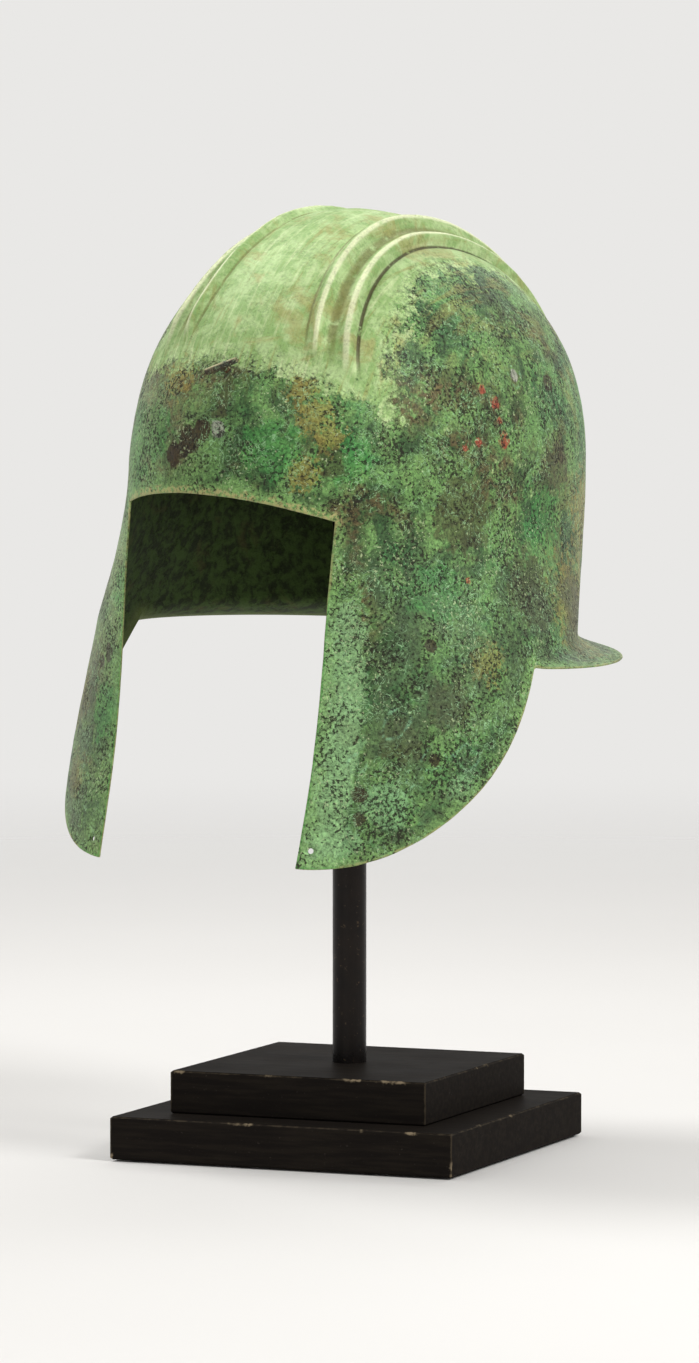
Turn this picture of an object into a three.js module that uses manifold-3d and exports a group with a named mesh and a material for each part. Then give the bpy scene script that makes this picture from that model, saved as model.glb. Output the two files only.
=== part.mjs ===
// An open-faced bronze helmet of the Illyrian kind, held up by a cradle and post on a stepped base.
// Millimetres, +Z up. The helmet faces -Y, and the origin lies under the middle of the base.
import * as THREE from 'three';
import { mergeVertices } from 'three/addons/utils/BufferGeometryUtils.js';
import Module from 'manifold-3d';

const wasm = await Module();
wasm.setup();

const degree = Math.PI / 180;
const quarterTurn = 90 * degree;
const fullTurn = 360 * degree;
const gap = 0.3; // between pieces that turn or are cut to each other
const overrun = 2; // how far a cutter passes the faces that it cuts
const roundSides = 40;
const screwSides = 20;
const socketSides = 6;
const smallTurn = 0.5 * degree; // for slopes
const weldShare = 1e-4; // corners nearer than this are one
const halvings = 40; // steps of a search

// Driving sizes of the helmet. Heights are measured from the tip of the longer cheek piece.
const helmet = {
  wall: 1.6,
  height: 270, // of the bowl, without the crest band
  crownForward: 2, // the crown's highest point lies this far before the bowl's middle
  lean: 3.7 * degree, // it sits a little askew on its cradle
  leanPivotHeight: 176.5,
  tipAboveFloor: 123.5,
  rightShift: 0.3, // of its middle from the post's line
  backShift: 1.2,
};
// Level cuts through the bowl: half its width, and its reach before and behind its middle.
const cutAtTips = { height: 0, halfWidth: 110, front: 102, back: 65 };
const cutAtCheeks = { height: 46.5, halfWidth: 111.2, front: 94.5, back: 78 };
const cutAtNeck = { height: 91.5, halfWidth: 103.5, front: 94, back: 88 };
const cutAtBrow = { height: 154.5, halfWidth: 86.5, front: 101, back: 117 };
const sections = [cutAtTips, cutAtCheeks, cutAtNeck, cutAtBrow];
// Powers of the rounded outlines: 2 is an ellipse, more is squarer.
const sectionPower = { atBrow: 2.17, atCrown: 2.1 };
// The dome's outlines, from upright at the brow to level at the crown.
const domePower = {
  across: { upright: 2.45, level: 1.84 },
  front: { upright: 2.55, level: 1.82 },
  back: { upright: 2.8, level: 1.76 },
};

const face = {
  cornerHalfWidth: 53,
  cornerHeight: 147.5,
  archRise: 7.3,
  archPower: 2.2,
  tipHalfWidth: 50.2,
  leftTipHeight: 6.5, // the wearer's left cheek piece (+X) is a little shorter
  rightTipHeight: 0,
};
const neck = {
  height: 90.5,
  startAngle: 88.5 * degree, // where the cheek piece ends and the neck guard starts
  backRise: 3, // its rim climbs this much to the nape
  guardWidth: 25.2,
  guardDrop: 5.5,
  guardFillet: 3.5,
  guardPower: 0.5, // how quickly the guard widens from its ends
};
const cheekPower = { along: 2.08, up: 1.17 };
// How finely the sheet is drawn: strips round it, and rows up the dome, down the wall and round the bend.
const sheetCounts = { brow: 12, cheek: 12, neckStrips: 26, domeRows: 15, wallRows: 7, bendRows: 4 };

// Each pair of crest ridges runs over the crown from above the brow to the nape, on a raised band.
const ridges = {
  frontAngle: 41 * degree,
  backAngle: 196 * degree,
  taper: 12 * degree,
  sink: 0.8,
  bandRise: 3.2,
  bandTaper: 45 * degree,
  bandMargin: 2.5, // beyond the outer ridges' middles
  bandPower: 6,
  inner: { atFront: 31, atCrown: 22, atBack: 25, width: 10, rise: 4 },
  outer: { atFront: 41, atCrown: 31, atBack: 34, width: 7, rise: 3 },
};
const tieHole = { diameter: 2.5, aboveTip: 7, behindEdge: 5.5 };
const crestPin = {
  diameter: 2.8,
  frontAngle: 29 * degree,
  rearAngle: 172 * degree,
  stand: 5,
  barLength: 15,
  barRise: 6,
  shift: 4, // its bar lies off the middle, to the wearer's left
};

// The cradle inside the crown. Each bar reaches this far from the post to the middle of a pad.
const bar = { thickness: 3, width: 15, end: 8.5 };
const longReach = 48;
const crossReach = 28;
const pad = { diameter: 13, thickness: 6 };
const cradleScrew = { diameter: 5, headDiameter: 9, headHeight: 3, bite: 10, underCrown: 6 };
const cap = { diameter: 26, roof: 12, depth: 22 };
const setScrew = { diameter: 4, headDiameter: 6, headHeight: 2.5, aboveRim: 11 };

// The stand.
const post = { diameter: 14.3, screwDepth: 26 };
const base = { turn: 13.1 * degree, edge: 0.8 };
const felt = { width: 146, thickness: 0.8 };
const lowerPlate = { width: 152.4, thickness: 18 };
const upperPlate = { width: 114.3, thickness: 18 };
const postScrew = {
  diameter: 8,
  headDiameter: 13,
  headHeight: 7,
  washerDiameter: 18,
  washerThickness: 1.5,
};
const plateScrew = {
  diameter: 4.5,
  headDiameter: 9,
  headHeight: 4,
  offset: 36,
  bite: 11,
  counterbore: 6,
};

const finish = {
  bronze: { color: 0x5d7f4a, roughness: 0.55, metalness: 0.35 },
  pin: { color: 0x4a4a2c, roughness: 0.7, metalness: 0.3 },
  lacquer: { color: 0x16120f, roughness: 0.4, metalness: 0 },
  darkMetal: { color: 0x1b1714, roughness: 0.35, metalness: 0.6 },
  steel: { color: 0x9a9a98, roughness: 0.35, metalness: 1 },
  felt: { color: 0x2b2b29, roughness: 0.95, metalness: 0 },
};

// Helpers for solids

function toManifold(geometry) {
  const plain = geometry.clone();
  plain.deleteAttribute('normal');
  plain.deleteAttribute('uv');
  const welded = mergeVertices(plain, weldShare);
  const vertProperties = new Float32Array(welded.attributes.position.array);
  const triVerts = new Uint32Array(welded.index.array);
  return new wasm.Manifold(new wasm.Mesh({ numProp: 3, vertProperties, triVerts }));
}

function toGeometry(solid) {
  const mesh = solid.getMesh();
  const geometry = new THREE.BufferGeometry();
  geometry.setAttribute('position', new THREE.BufferAttribute(mesh.vertProperties, 3));
  geometry.setIndex(new THREE.BufferAttribute(mesh.triVerts, 1));
  const flat = geometry.toNonIndexed();
  flat.computeVertexNormals();
  return flat;
}

function combine(start, { add = [], cut = [] }) {
  let solid = toManifold(start);
  for (const piece of add) solid = solid.add(toManifold(piece));
  for (const piece of cut) solid = solid.subtract(toManifold(piece));
  return toGeometry(solid);
}

function named(name, geometry, look) {
  const mesh = new THREE.Mesh(geometry, new THREE.MeshStandardMaterial(look));
  mesh.name = name;
  return mesh;
}

// An upright cylinder from one height to another.
function rod(diameter, from, to, sides = roundSides) {
  const geometry = new THREE.CylinderGeometry(diameter / 2, diameter / 2, to - from, sides);
  return geometry.rotateX(quarterTurn).translate(0, 0, (from + to) / 2);
}

// A square plate with bevelled edges, standing on the given height.
function plate(width, thickness, from, bevel) {
  const half = width / 2 - bevel;
  const outline = new THREE.Shape([
    new THREE.Vector2(-half, -half),
    new THREE.Vector2(half, -half),
    new THREE.Vector2(half, half),
    new THREE.Vector2(-half, half),
  ]);
  const geometry = new THREE.ExtrudeGeometry(outline, {
    depth: thickness - 2 * bevel,
    bevelEnabled: true,
    bevelSize: bevel,
    bevelThickness: bevel,
    bevelSegments: 1,
  });
  return geometry.translate(0, 0, from + bevel);
}

// A socket-head screw that points up: its head is below, its shank above.
function screw(size, headFrom, shankTo) {
  const headTo = headFrom + size.headHeight;
  const socket = rod(size.headDiameter / 2, headFrom - overrun, headFrom + size.headHeight / 2, socketSides);
  const head = rod(size.headDiameter, headFrom, headTo, screwSides);
  const shank = rod(size.diameter, headTo - gap, shankTo, screwSides);
  return combine(head, { add: [shank], cut: [socket] });
}

// The helmet's form

// A smooth size between the listed sections, level where the dome starts.
function blendSections(height, key) {
  const last = sections.length - 1;
  const slope = (i) => {
    if (i === last) return 0;
    const before = sections[Math.max(i - 1, 0)];
    return (sections[i + 1][key] - before[key]) / (sections[i + 1].height - before.height);
  };
  const above = Math.max(sections.findIndex((section) => section.height >= height), 1);
  const low = sections[above - 1];
  const high = sections[above];
  const span = high.height - low.height;
  const t = Math.max((height - low.height) / span, 0);
  return (
    low[key] * (1 + 2 * t) * (1 - t) ** 2 +
    high[key] * t * t * (3 - 2 * t) +
    slope(above - 1) * span * t * (1 - t) ** 2 -
    slope(above) * span * t * t * (1 - t)
  );
}

function sectionAt(height) {
  if (height < cutAtBrow.height) {
    return {
      halfWidth: blendSections(height, 'halfWidth'),
      front: blendSections(height, 'front'),
      back: blendSections(height, 'back'),
      power: sectionPower.atBrow,
    };
  }
  const rise = Math.min((height - cutAtBrow.height) / (helmet.height - cutAtBrow.height), 1);
  const shrink = ({ upright, level }) => (1 - rise ** upright) ** (1 / level);
  const forward = helmet.crownForward;
  return {
    halfWidth: cutAtBrow.halfWidth * shrink(domePower.across),
    front: (cutAtBrow.front - forward) * shrink(domePower.front) + forward,
    back: (cutAtBrow.back + forward) * shrink(domePower.back) - forward,
    power: sectionPower.atBrow + (sectionPower.atCrown - sectionPower.atBrow) * rise,
  };
}

// A point of the outer face. Angle 0 is the front, a quarter turn is the wearer's left (+X).
function bowlPoint(angle, height) {
  const { halfWidth, front, back, power } = sectionAt(height);
  const bent = (value) => Math.sign(value) * Math.abs(value) ** (2 / power);
  const x = halfWidth * bent(Math.sin(angle));
  const y = (back - front) / 2 - ((back + front) / 2) * bent(Math.cos(angle));
  return new THREE.Vector3(x, y, height);
}

// The level direction out of the bowl.
function outward(angle, height) {
  const along = bowlPoint(angle + smallTurn, height).sub(bowlPoint(angle - smallTurn, height));
  return new THREE.Vector3(along.y, -along.x, 0).normalize();
}

// The direction square to the outer face.
function bowlNormal(angle, height) {
  const along = bowlPoint(angle + smallTurn, height).sub(bowlPoint(angle - smallTurn, height));
  const up = bowlPoint(angle, height).sub(bowlPoint(angle, height - helmet.wall / 2));
  return along.cross(up).normalize();
}

// How far off the middle a ridge runs, in a direction that turns from the front (0) over the crown.
function ridgeOffset(ridge, turn) {
  const toFront = Math.max((quarterTurn - turn) / (quarterTurn - ridges.frontAngle), 0);
  const toBack = Math.max((turn - quarterTurn) / (ridges.backAngle - quarterTurn), 0);
  const front = (ridge.atFront - ridge.atCrown) * toFront ** 2;
  const back = (ridge.atBack - ridge.atCrown) * toBack ** 2;
  return ridge.atCrown + front + back;
}

// How far the band under the ridges stands out from the bowl.
function bandLift(x, turn) {
  const toEnd = Math.min(turn - ridges.frontAngle, ridges.backAngle - turn);
  const swell = Math.sin(quarterTurn * Math.min(Math.max(toEnd / ridges.bandTaper, 0), 1)) ** 2;
  const across = Math.min(Math.abs(x) / (ridgeOffset(ridges.outer, turn) + ridges.bandMargin), 1);
  return ridges.bandRise * swell * (1 - across ** ridges.bandPower);
}

function turnOf(point) {
  const turn = Math.atan2(point.z - cutAtBrow.height, -helmet.crownForward - point.y);
  return turn < -quarterTurn ? turn + fullTurn : turn;
}

// A point of the outer face with the crest band on it, or of a face that lies further in.
function crestedPoint(angle, height, inset = 0) {
  const point = bowlPoint(angle, height);
  return point.addScaledVector(bowlNormal(angle, height), bandLift(point.x, turnOf(point)) - inset);
}

function angleAtWidth(width, height) {
  const { halfWidth, power } = sectionAt(height);
  return Math.asin((width / halfWidth) ** (power / 2));
}

function archHeight(x) {
  const share = Math.min(Math.abs(x) / face.cornerHalfWidth, 1);
  return face.cornerHeight + face.archRise * (1 - share ** face.archPower);
}

// The upright strips that the sheet is drawn on: brow, left cheek, neck, right cheek.
function sheetColumns() {
  const { brow, cheek, neckStrips } = sheetCounts;
  const cornerAngle = angleAtWidth(face.cornerHalfWidth, face.cornerHeight);
  const columns = [];
  for (let i = 1; i < brow; i += 1) {
    const angle = cornerAngle * (-1 + (2 * i) / brow);
    const base = archHeight(bowlPoint(angle, face.cornerHeight).x);
    columns.push({ open: true, base, angleAt: () => angle });
  }
  const cheekColumn = (side, tip, i) => {
    const share = Math.sin((quarterTurn * i) / cheek);
    const climb = 1 - (1 - share ** cheekPower.along) ** (1 / cheekPower.up);
    const low = tip + (neck.height - tip) * climb;
    const angleAt = (height) => {
      const level = Math.min(height, face.cornerHeight);
      const t = (level - tip) / (face.cornerHeight - tip);
      const edge = face.tipHalfWidth + (face.cornerHalfWidth - face.tipHalfWidth) * t;
      const start = angleAtWidth(edge, level);
      return side * (start + (neck.startAngle - start) * share);
    };
    return { base: face.cornerHeight, low, width: 0, angleAt };
  };
  for (let i = 0; i < cheek; i += 1) columns.push(cheekColumn(1, face.leftTipHeight, i));
  for (let i = 0; i <= neckStrips; i += 1) {
    const share = i / neckStrips;
    const angle = neck.startAngle + (fullTurn - 2 * neck.startAngle) * share;
    const bulge = Math.max(Math.sin(Math.PI * share), 0);
    const width = neck.guardWidth * bulge ** neck.guardPower;
    const low = neck.height + neck.backRise * bulge ** 2;
    columns.push({ base: face.cornerHeight, low, width, angleAt: () => angle });
  }
  for (let i = cheek - 1; i >= 0; i -= 1) columns.push(cheekColumn(-1, face.rightTipHeight, i));
  return columns;
}

// The guard's bend, from the wall (0) to its rim (1), as a curve out and up from the low edge.
function guardBend(width, share) {
  const top = neck.guardDrop + neck.guardFillet;
  const drop = (neck.guardDrop * width) / neck.guardWidth;
  const out = width * share ** 2;
  const up = top * (1 - share) ** 2 + 2 * drop * share * (1 - share);
  return { out, up };
}

function skirtPoint(column, row) {
  const { wallRows, bendRows } = sheetCounts;
  const bendTop = column.low + neck.guardDrop + neck.guardFillet;
  if (row <= wallRows) {
    const height = column.base + ((bendTop - column.base) * row) / wallRows;
    return bowlPoint(column.angleAt(height), height);
  }
  const { out, up } = guardBend(column.width, (row - wallRows) / bendRows);
  const height = column.low + up;
  const angle = column.angleAt(height);
  return bowlPoint(angle, height).addScaledVector(outward(angle, height), out);
}

// Rings of points from the brow up to just under the crown, on the outer face or further in.
function domeRings(columns, inset = 0) {
  const rings = [];
  for (let row = 0; row < sheetCounts.domeRows; row += 1) {
    const rise = Math.sin((quarterTurn * row) / sheetCounts.domeRows);
    const ring = columns.map((column) => {
      const height = column.base + (helmet.height - column.base) * rise;
      return crestedPoint(column.angleAt(height), height, inset);
    });
    rings.push(ring);
  }
  return rings;
}

// The bare sheet: a dome of rows up to the crown, and a skirt of rows down to the edge.
function helmetSheet() {
  const columns = sheetColumns();
  const { domeRows, wallRows, bendRows } = sheetCounts;
  const points = domeRings(columns).flat();
  const triangles = [];
  const quad = (a, b, c, d) => triangles.push(a, b, c, a, c, d);
  const crownHeight = helmet.height + bandLift(0, quarterTurn);
  const crown = points.push(new THREE.Vector3(0, -helmet.crownForward, crownHeight)) - 1;
  const count = columns.length;
  const dome = (row, i) => (row === domeRows ? crown : row * count + (i % count));
  for (let row = 0; row < domeRows; row += 1) {
    for (let i = 0; i < count; i += 1) {
      if (row === domeRows - 1) triangles.push(dome(row, i), dome(row, i + 1), crown);
      else quad(dome(row, i), dome(row, i + 1), dome(row + 1, i + 1), dome(row + 1, i));
    }
  }
  const skirt = columns.flatMap((column, i) => (column.open ? [] : [i]));
  const firstSkirt = points.length;
  for (let row = 1; row <= wallRows + bendRows; row += 1) {
    for (const i of skirt) points.push(skirtPoint(columns[i], row));
  }
  const low = (row, k) => (row === 0 ? skirt[k] : firstSkirt + (row - 1) * skirt.length + k);
  for (let row = 0; row < wallRows + bendRows; row += 1) {
    for (let k = 0; k + 1 < skirt.length; k += 1) {
      quad(low(row + 1, k), low(row + 1, k + 1), low(row, k + 1), low(row, k));
    }
  }
  const geometry = new THREE.BufferGeometry().setFromPoints(points);
  geometry.setIndex(triangles);
  geometry.computeVertexNormals();
  return geometry;
}

// Gives a sheet its wall: an inner face along the normals, and a rim round every free edge.
function thicken(sheet, wall) {
  const position = sheet.attributes.position;
  const normal = sheet.attributes.normal;
  const count = position.count;
  const points = [];
  for (const depth of [0, wall]) {
    for (let i = 0; i < count; i += 1) {
      const point = new THREE.Vector3().fromBufferAttribute(position, i);
      const inward = new THREE.Vector3().fromBufferAttribute(normal, i);
      points.push(point.addScaledVector(inward, -depth));
    }
  }
  const outer = Array.from(sheet.index.array);
  const edges = new Set();
  for (let i = 0; i < outer.length; i += 3) {
    const [a, b, c] = outer.slice(i, i + 3);
    for (const [from, to] of [[a, b], [b, c], [c, a]]) {
      if (!edges.delete(`${to} ${from}`)) edges.add(`${from} ${to}`);
    }
  }
  const inner = outer.map((index) => index + count).reverse();
  const rim = [...edges].flatMap((edge) => {
    const [from, to] = edge.split(' ').map(Number);
    return [to, from, from + count, to, from + count, to + count];
  });
  const solid = new THREE.BufferGeometry().setFromPoints(points);
  solid.setIndex([...outer, ...inner, ...rim]);
  return solid;
}

function isInside({ x, y, z }) {
  if (z >= helmet.height) return false;
  const { halfWidth, front, back, power } = sectionAt(z);
  const across = Math.abs(x) / halfWidth;
  const depth = Math.abs(y - (back - front) / 2) / ((back + front) / 2);
  return across ** power + depth ** power < 1;
}

// How far one can go along a line of points, which pointAt gives, before leaving the bowl.
function lastInside(pointAt) {
  let near = 0;
  let far = helmet.height;
  for (let i = 0; i < halvings; i += 1) {
    const reach = (near + far) / 2;
    if (isInside(pointAt(reach))) near = reach;
    else far = reach;
  }
  return near;
}

// The outer face at one distance from the middle plane, in a direction that turns from front to back.
function facePoint(x, turn) {
  const direction = new THREE.Vector3(0, -Math.cos(turn), Math.sin(turn));
  const start = new THREE.Vector3(x, -helmet.crownForward, cutAtBrow.height);
  const reach = lastInside((distance) => start.clone().addScaledVector(direction, distance));
  return start.addScaledVector(direction, reach);
}

function faceNormal(x, turn) {
  const reach = helmet.wall;
  const along = facePoint(x, turn + smallTurn).sub(facePoint(x, turn - smallTurn));
  const across = facePoint(x + reach, turn).sub(facePoint(x - reach, turn));
  return across.cross(along).normalize();
}

// A closed solid through rings of points, each with the same count.
function loft(rings) {
  const size = rings[0].length;
  const points = rings.flat();
  const triangles = [];
  for (let ring = 0; ring + 1 < rings.length; ring += 1) {
    for (let i = 0; i < size; i += 1) {
      const next = (i + 1) % size;
      const [a, b] = [ring * size + i, ring * size + next];
      triangles.push(a, b, b + size, a, b + size, a + size);
    }
  }
  const last = (rings.length - 1) * size;
  for (let i = 1; i + 1 < size; i += 1) {
    triangles.push(0, i + 1, i, last, last + i, last + i + 1);
  }
  const geometry = new THREE.BufferGeometry().setFromPoints(points);
  geometry.setIndex(triangles);
  return geometry;
}

// One raised ridge, as a bead that sinks into the sheet at both ends.
function ridgeBead(ridge, side) {
  const steps = 26;
  const beadPoints = 4;
  const roundness = 1.5;
  const rings = [];
  for (let i = 0; i <= steps; i += 1) {
    const turn = ridges.frontAngle + ((ridges.backAngle - ridges.frontAngle) * i) / steps;
    const toEnd = Math.min(turn - ridges.frontAngle, ridges.backAngle - turn);
    const swell = Math.sin(quarterTurn * Math.min(toEnd / ridges.taper, 1));
    const x = side * ridgeOffset(ridge, turn);
    const ring = [];
    for (let k = 0; k <= beadPoints; k += 1) {
      const share = -1 + k / (beadPoints / 2);
      const at = x + (side * share * ridge.width) / 2;
      const bead = ridge.rise * swell * Math.cos(quarterTurn * share) ** roundness;
      const lift = bandLift(at, turn) + bead - ridges.sink * share ** 2;
      ring.push(facePoint(at, turn).addScaledVector(faceNormal(at, turn), lift));
    }
    const depth = bandLift(x, turn) - ridges.sink;
    ring.push(facePoint(x, turn).addScaledVector(faceNormal(x, turn), depth));
    rings.push(side > 0 ? ring : ring.reverse());
  }
  return loft(rings);
}

function tieHoleCutter(side, tip) {
  const height = tip + tieHole.aboveTip;
  const width = face.tipHalfWidth + tieHole.behindEdge;
  const angle = side * angleAtWidth(width, height);
  const cutter = rod(tieHole.diameter, -overrun * 2, overrun * 2, screwSides);
  cutter.lookAt(outward(angle, height));
  const { x, y, z } = bowlPoint(angle, height);
  return cutter.translate(x, y, z);
}

function helmetShell() {
  const beads = [];
  for (const ridge of [ridges.inner, ridges.outer]) beads.push(ridgeBead(ridge, 1), ridgeBead(ridge, -1));
  const holes = [tieHoleCutter(1, face.leftTipHeight), tieHoleCutter(-1, face.rightTipHeight)];
  return combine(thicken(helmetSheet(), helmet.wall), { add: beads, cut: holes });
}

// A pin on the outer face: a short stem, and a bar across its end that tilts.
function crestPinShape(turn) {
  const { diameter, stand, barLength, barRise, shift } = crestPin;
  const normal = faceNormal(shift, turn);
  const foot = facePoint(shift, turn).addScaledVector(normal, bandLift(shift, turn) + gap);
  const head = foot.clone().addScaledVector(normal, stand);
  const barHalf = new THREE.Vector3(barLength / 2, 0, barRise / 2);
  const ring = new THREE.Shape().absarc(0, 0, diameter / 2, 0, fullTurn);
  const curveSegments = screwSides / 2;
  const tube = (from, to) => {
    const extrudePath = new THREE.LineCurve3(from, to);
    return new THREE.ExtrudeGeometry(ring, { extrudePath, steps: 1, curveSegments });
  };
  const crossbar = tube(head.clone().sub(barHalf), head.clone().add(barHalf));
  return combine(crossbar, { add: [tube(foot, head)] });
}

// The space inside the bowl, kept the given distance from the sheet, as it stands on the cradle.
function crownSpace(inset) {
  const space = loft(domeRings(sheetColumns(), inset));
  space.translate(0, 0, -helmet.leanPivotHeight).rotateY(helmet.lean);
  return space.translate(-helmet.rightShift, helmet.backShift, pivotHeight);
}

// Heights of the stand and cradle, worked out from the floor up and from the crown down.
const plateSeam = felt.thickness + lowerPlate.thickness;
const plateTop = plateSeam + upperPlate.thickness;
const pivotHeight = helmet.tipAboveFloor + helmet.leanPivotHeight;
const innerCrown = helmet.tipAboveFloor + helmet.height - helmet.wall;
const longBarTop = innerCrown - cradleScrew.underCrown - cradleScrew.headHeight;
const crossBarTop = longBarTop - bar.thickness - gap;
const capTop = crossBarTop - bar.thickness - gap;
const postTop = capTop - cap.roof - gap;
const capBottom = capTop - cap.roof - cap.depth;

// The inner face over a place beside the post, at the lower of the two sides.
function roofOver(x, y) {
  const foot = cutAtBrow.height;
  const heights = [-1, 1].map((side) => {
    const rise = lastInside((climb) => new THREE.Vector3(side * x, side * y, foot + climb));
    return helmet.tipAboveFloor + foot + rise - side * x * Math.sin(helmet.lean);
  });
  return Math.min(...heights) - helmet.wall;
}

// A bar's arc falls from its top so that a pad of the named thickness fits over its reach.
// Under a flat crown it rises instead, and its radius is negative.
function barArc(top, reach, roof) {
  const dip = top - (roof - pad.thickness);
  return { top, reach, radius: (reach ** 2 + dip ** 2) / (2 * dip) };
}

const longBar = barArc(longBarTop, longReach, roofOver(0, longReach));
const crossBar = barArc(crossBarTop, crossReach, roofOver(crossReach, 0));

// A strip bent to an arc along X. Growth adds clearance all round.
function arcStrip({ top, reach, radius }, growth = 0) {
  const outer = radius + growth;
  const inner = radius - bar.thickness - growth;
  const half = Math.asin((reach + bar.end + growth) / radius);
  const rises = radius < 0;
  const outline = new THREE.Shape();
  outline.absarc(0, 0, outer, quarterTurn - half, quarterTurn + half, rises);
  outline.absarc(0, 0, inner, quarterTurn + half, quarterTurn - half, !rises);
  const depth = bar.width + 2 * growth;
  const curveSegments = roundSides / 2;
  const strip = new THREE.ExtrudeGeometry(outline, { depth, bevelEnabled: false, curveSegments });
  return strip.rotateX(quarterTurn).translate(0, depth / 2, top - radius);
}

const longStrip = (growth) => arcStrip(longBar, growth).rotateZ(quarterTurn);
const crossStrip = (growth) => arcStrip(crossBar, growth);

function cradleHole() {
  return rod(cradleScrew.diameter + 2 * gap, capBottom, longBarTop + overrun, screwSides);
}

// The long strip lies over the cross strip and is notched for it.
function cradleBarLong() {
  return combine(longStrip(), { cut: [crossStrip(gap), cradleHole()] });
}

function cradleBarCross() {
  return combine(crossStrip(), { cut: [cradleHole()] });
}

// A felt disc on a bar's end, trimmed to the bar under it and to the bowl over it.
function cradlePad({ top, reach, radius }, turn, strip) {
  const disc = rod(pad.diameter, radius - bar.thickness, radius + 2 * pad.thickness + overrun);
  disc.rotateY(Math.asin(reach / radius)).translate(0, 0, top - radius).rotateZ(turn);
  const bowl = toManifold(crownSpace(helmet.wall + gap));
  return toGeometry(toManifold(disc).intersect(bowl).subtract(toManifold(strip(gap))));
}

function cradleScrewShape() {
  const underHead = longBarTop;
  const head = rod(cradleScrew.headDiameter, underHead, underHead + cradleScrew.headHeight, screwSides);
  const shank = rod(cradleScrew.diameter, capTop - cradleScrew.bite, underHead + gap, screwSides);
  const slotDepth = cradleScrew.headHeight / 2;
  const top = underHead + cradleScrew.headHeight;
  const slot = rod(cradleScrew.headDiameter / 2, top - slotDepth, top + overrun, socketSides);
  return combine(head, { add: [shank], cut: [slot] });
}

// A level rod that points out of the cap's back.
function sideRod(diameter, from, to, height) {
  return rod(diameter, from, to, screwSides).rotateX(quarterTurn).translate(0, 0, height);
}

function cradleCap() {
  const body = rod(cap.diameter, capBottom, capTop + gap);
  const bore = rod(post.diameter + 2 * gap, capBottom - overrun, capTop - cap.roof);
  const pinHole = sideRod(setScrew.diameter + 2 * gap, 0, cap.diameter, capBottom + setScrew.aboveRim);
  const screwFoot = capTop - cradleScrew.bite - gap;
  const screwHole = rod(cradleScrew.diameter + 2 * gap, screwFoot, capTop + overrun, screwSides);
  return combine(body, { cut: [bore, pinHole, screwHole, crossStrip(gap)] });
}

function setScrewShape() {
  const height = capBottom + setScrew.aboveRim;
  const tip = post.diameter / 2 + gap;
  const seat = cap.diameter / 2 + gap;
  const shank = sideRod(setScrew.diameter, tip, seat + setScrew.headHeight / 2, height);
  const head = sideRod(setScrew.headDiameter, seat, seat + setScrew.headHeight, height);
  return combine(shank, { add: [head] });
}

// The stand

const screwPlaces = [[-1, -1], [1, -1], [1, 1], [-1, 1]].map(([x, y]) => ({
  x: x * plateScrew.offset,
  y: y * plateScrew.offset,
}));

// A round hole for a screw, with its clearance.
function screwHole(diameter, from, to) {
  return rod(diameter + 2 * gap, from, to, screwSides);
}

function lowerPlateShape() {
  const under = felt.thickness;
  const washerTop = under + gap + postScrew.headHeight + postScrew.washerThickness;
  const pocket = rod(postScrew.washerDiameter + 2 * gap, under - overrun, washerTop);
  const cuts = [pocket, screwHole(postScrew.diameter, under, plateSeam + overrun)];
  const counterboreTop = under + plateScrew.counterbore;
  for (const { x, y } of screwPlaces) {
    const counterbore = screwHole(plateScrew.headDiameter, under - overrun, counterboreTop);
    const shaft = screwHole(plateScrew.diameter, under, plateSeam + overrun);
    cuts.push(counterbore.translate(x, y, 0), shaft.translate(x, y, 0));
  }
  return combine(plate(lowerPlate.width, lowerPlate.thickness, under, base.edge), { cut: cuts });
}

function upperPlateShape() {
  const cuts = [screwHole(postScrew.diameter, plateSeam - overrun, plateTop + overrun)];
  for (const { x, y } of screwPlaces) {
    const hole = screwHole(plateScrew.diameter, plateSeam - overrun, plateSeam + plateScrew.bite + gap);
    cuts.push(hole.translate(x, y, 0));
  }
  return combine(plate(upperPlate.width, upperPlate.thickness, plateSeam, base.edge), { cut: cuts });
}

function postShape() {
  const bore = screwHole(postScrew.diameter, plateTop - overrun, plateTop + post.screwDepth + gap);
  return combine(rod(post.diameter, plateTop, postTop), { cut: [bore] });
}

const washerUnder = felt.thickness + gap + postScrew.headHeight;

function postWasherShape() {
  const washerTop = washerUnder + postScrew.washerThickness;
  const ring = rod(postScrew.washerDiameter, washerUnder, washerTop);
  return combine(ring, { cut: [screwHole(postScrew.diameter, washerUnder - overrun, washerTop + overrun)] });
}

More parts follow.
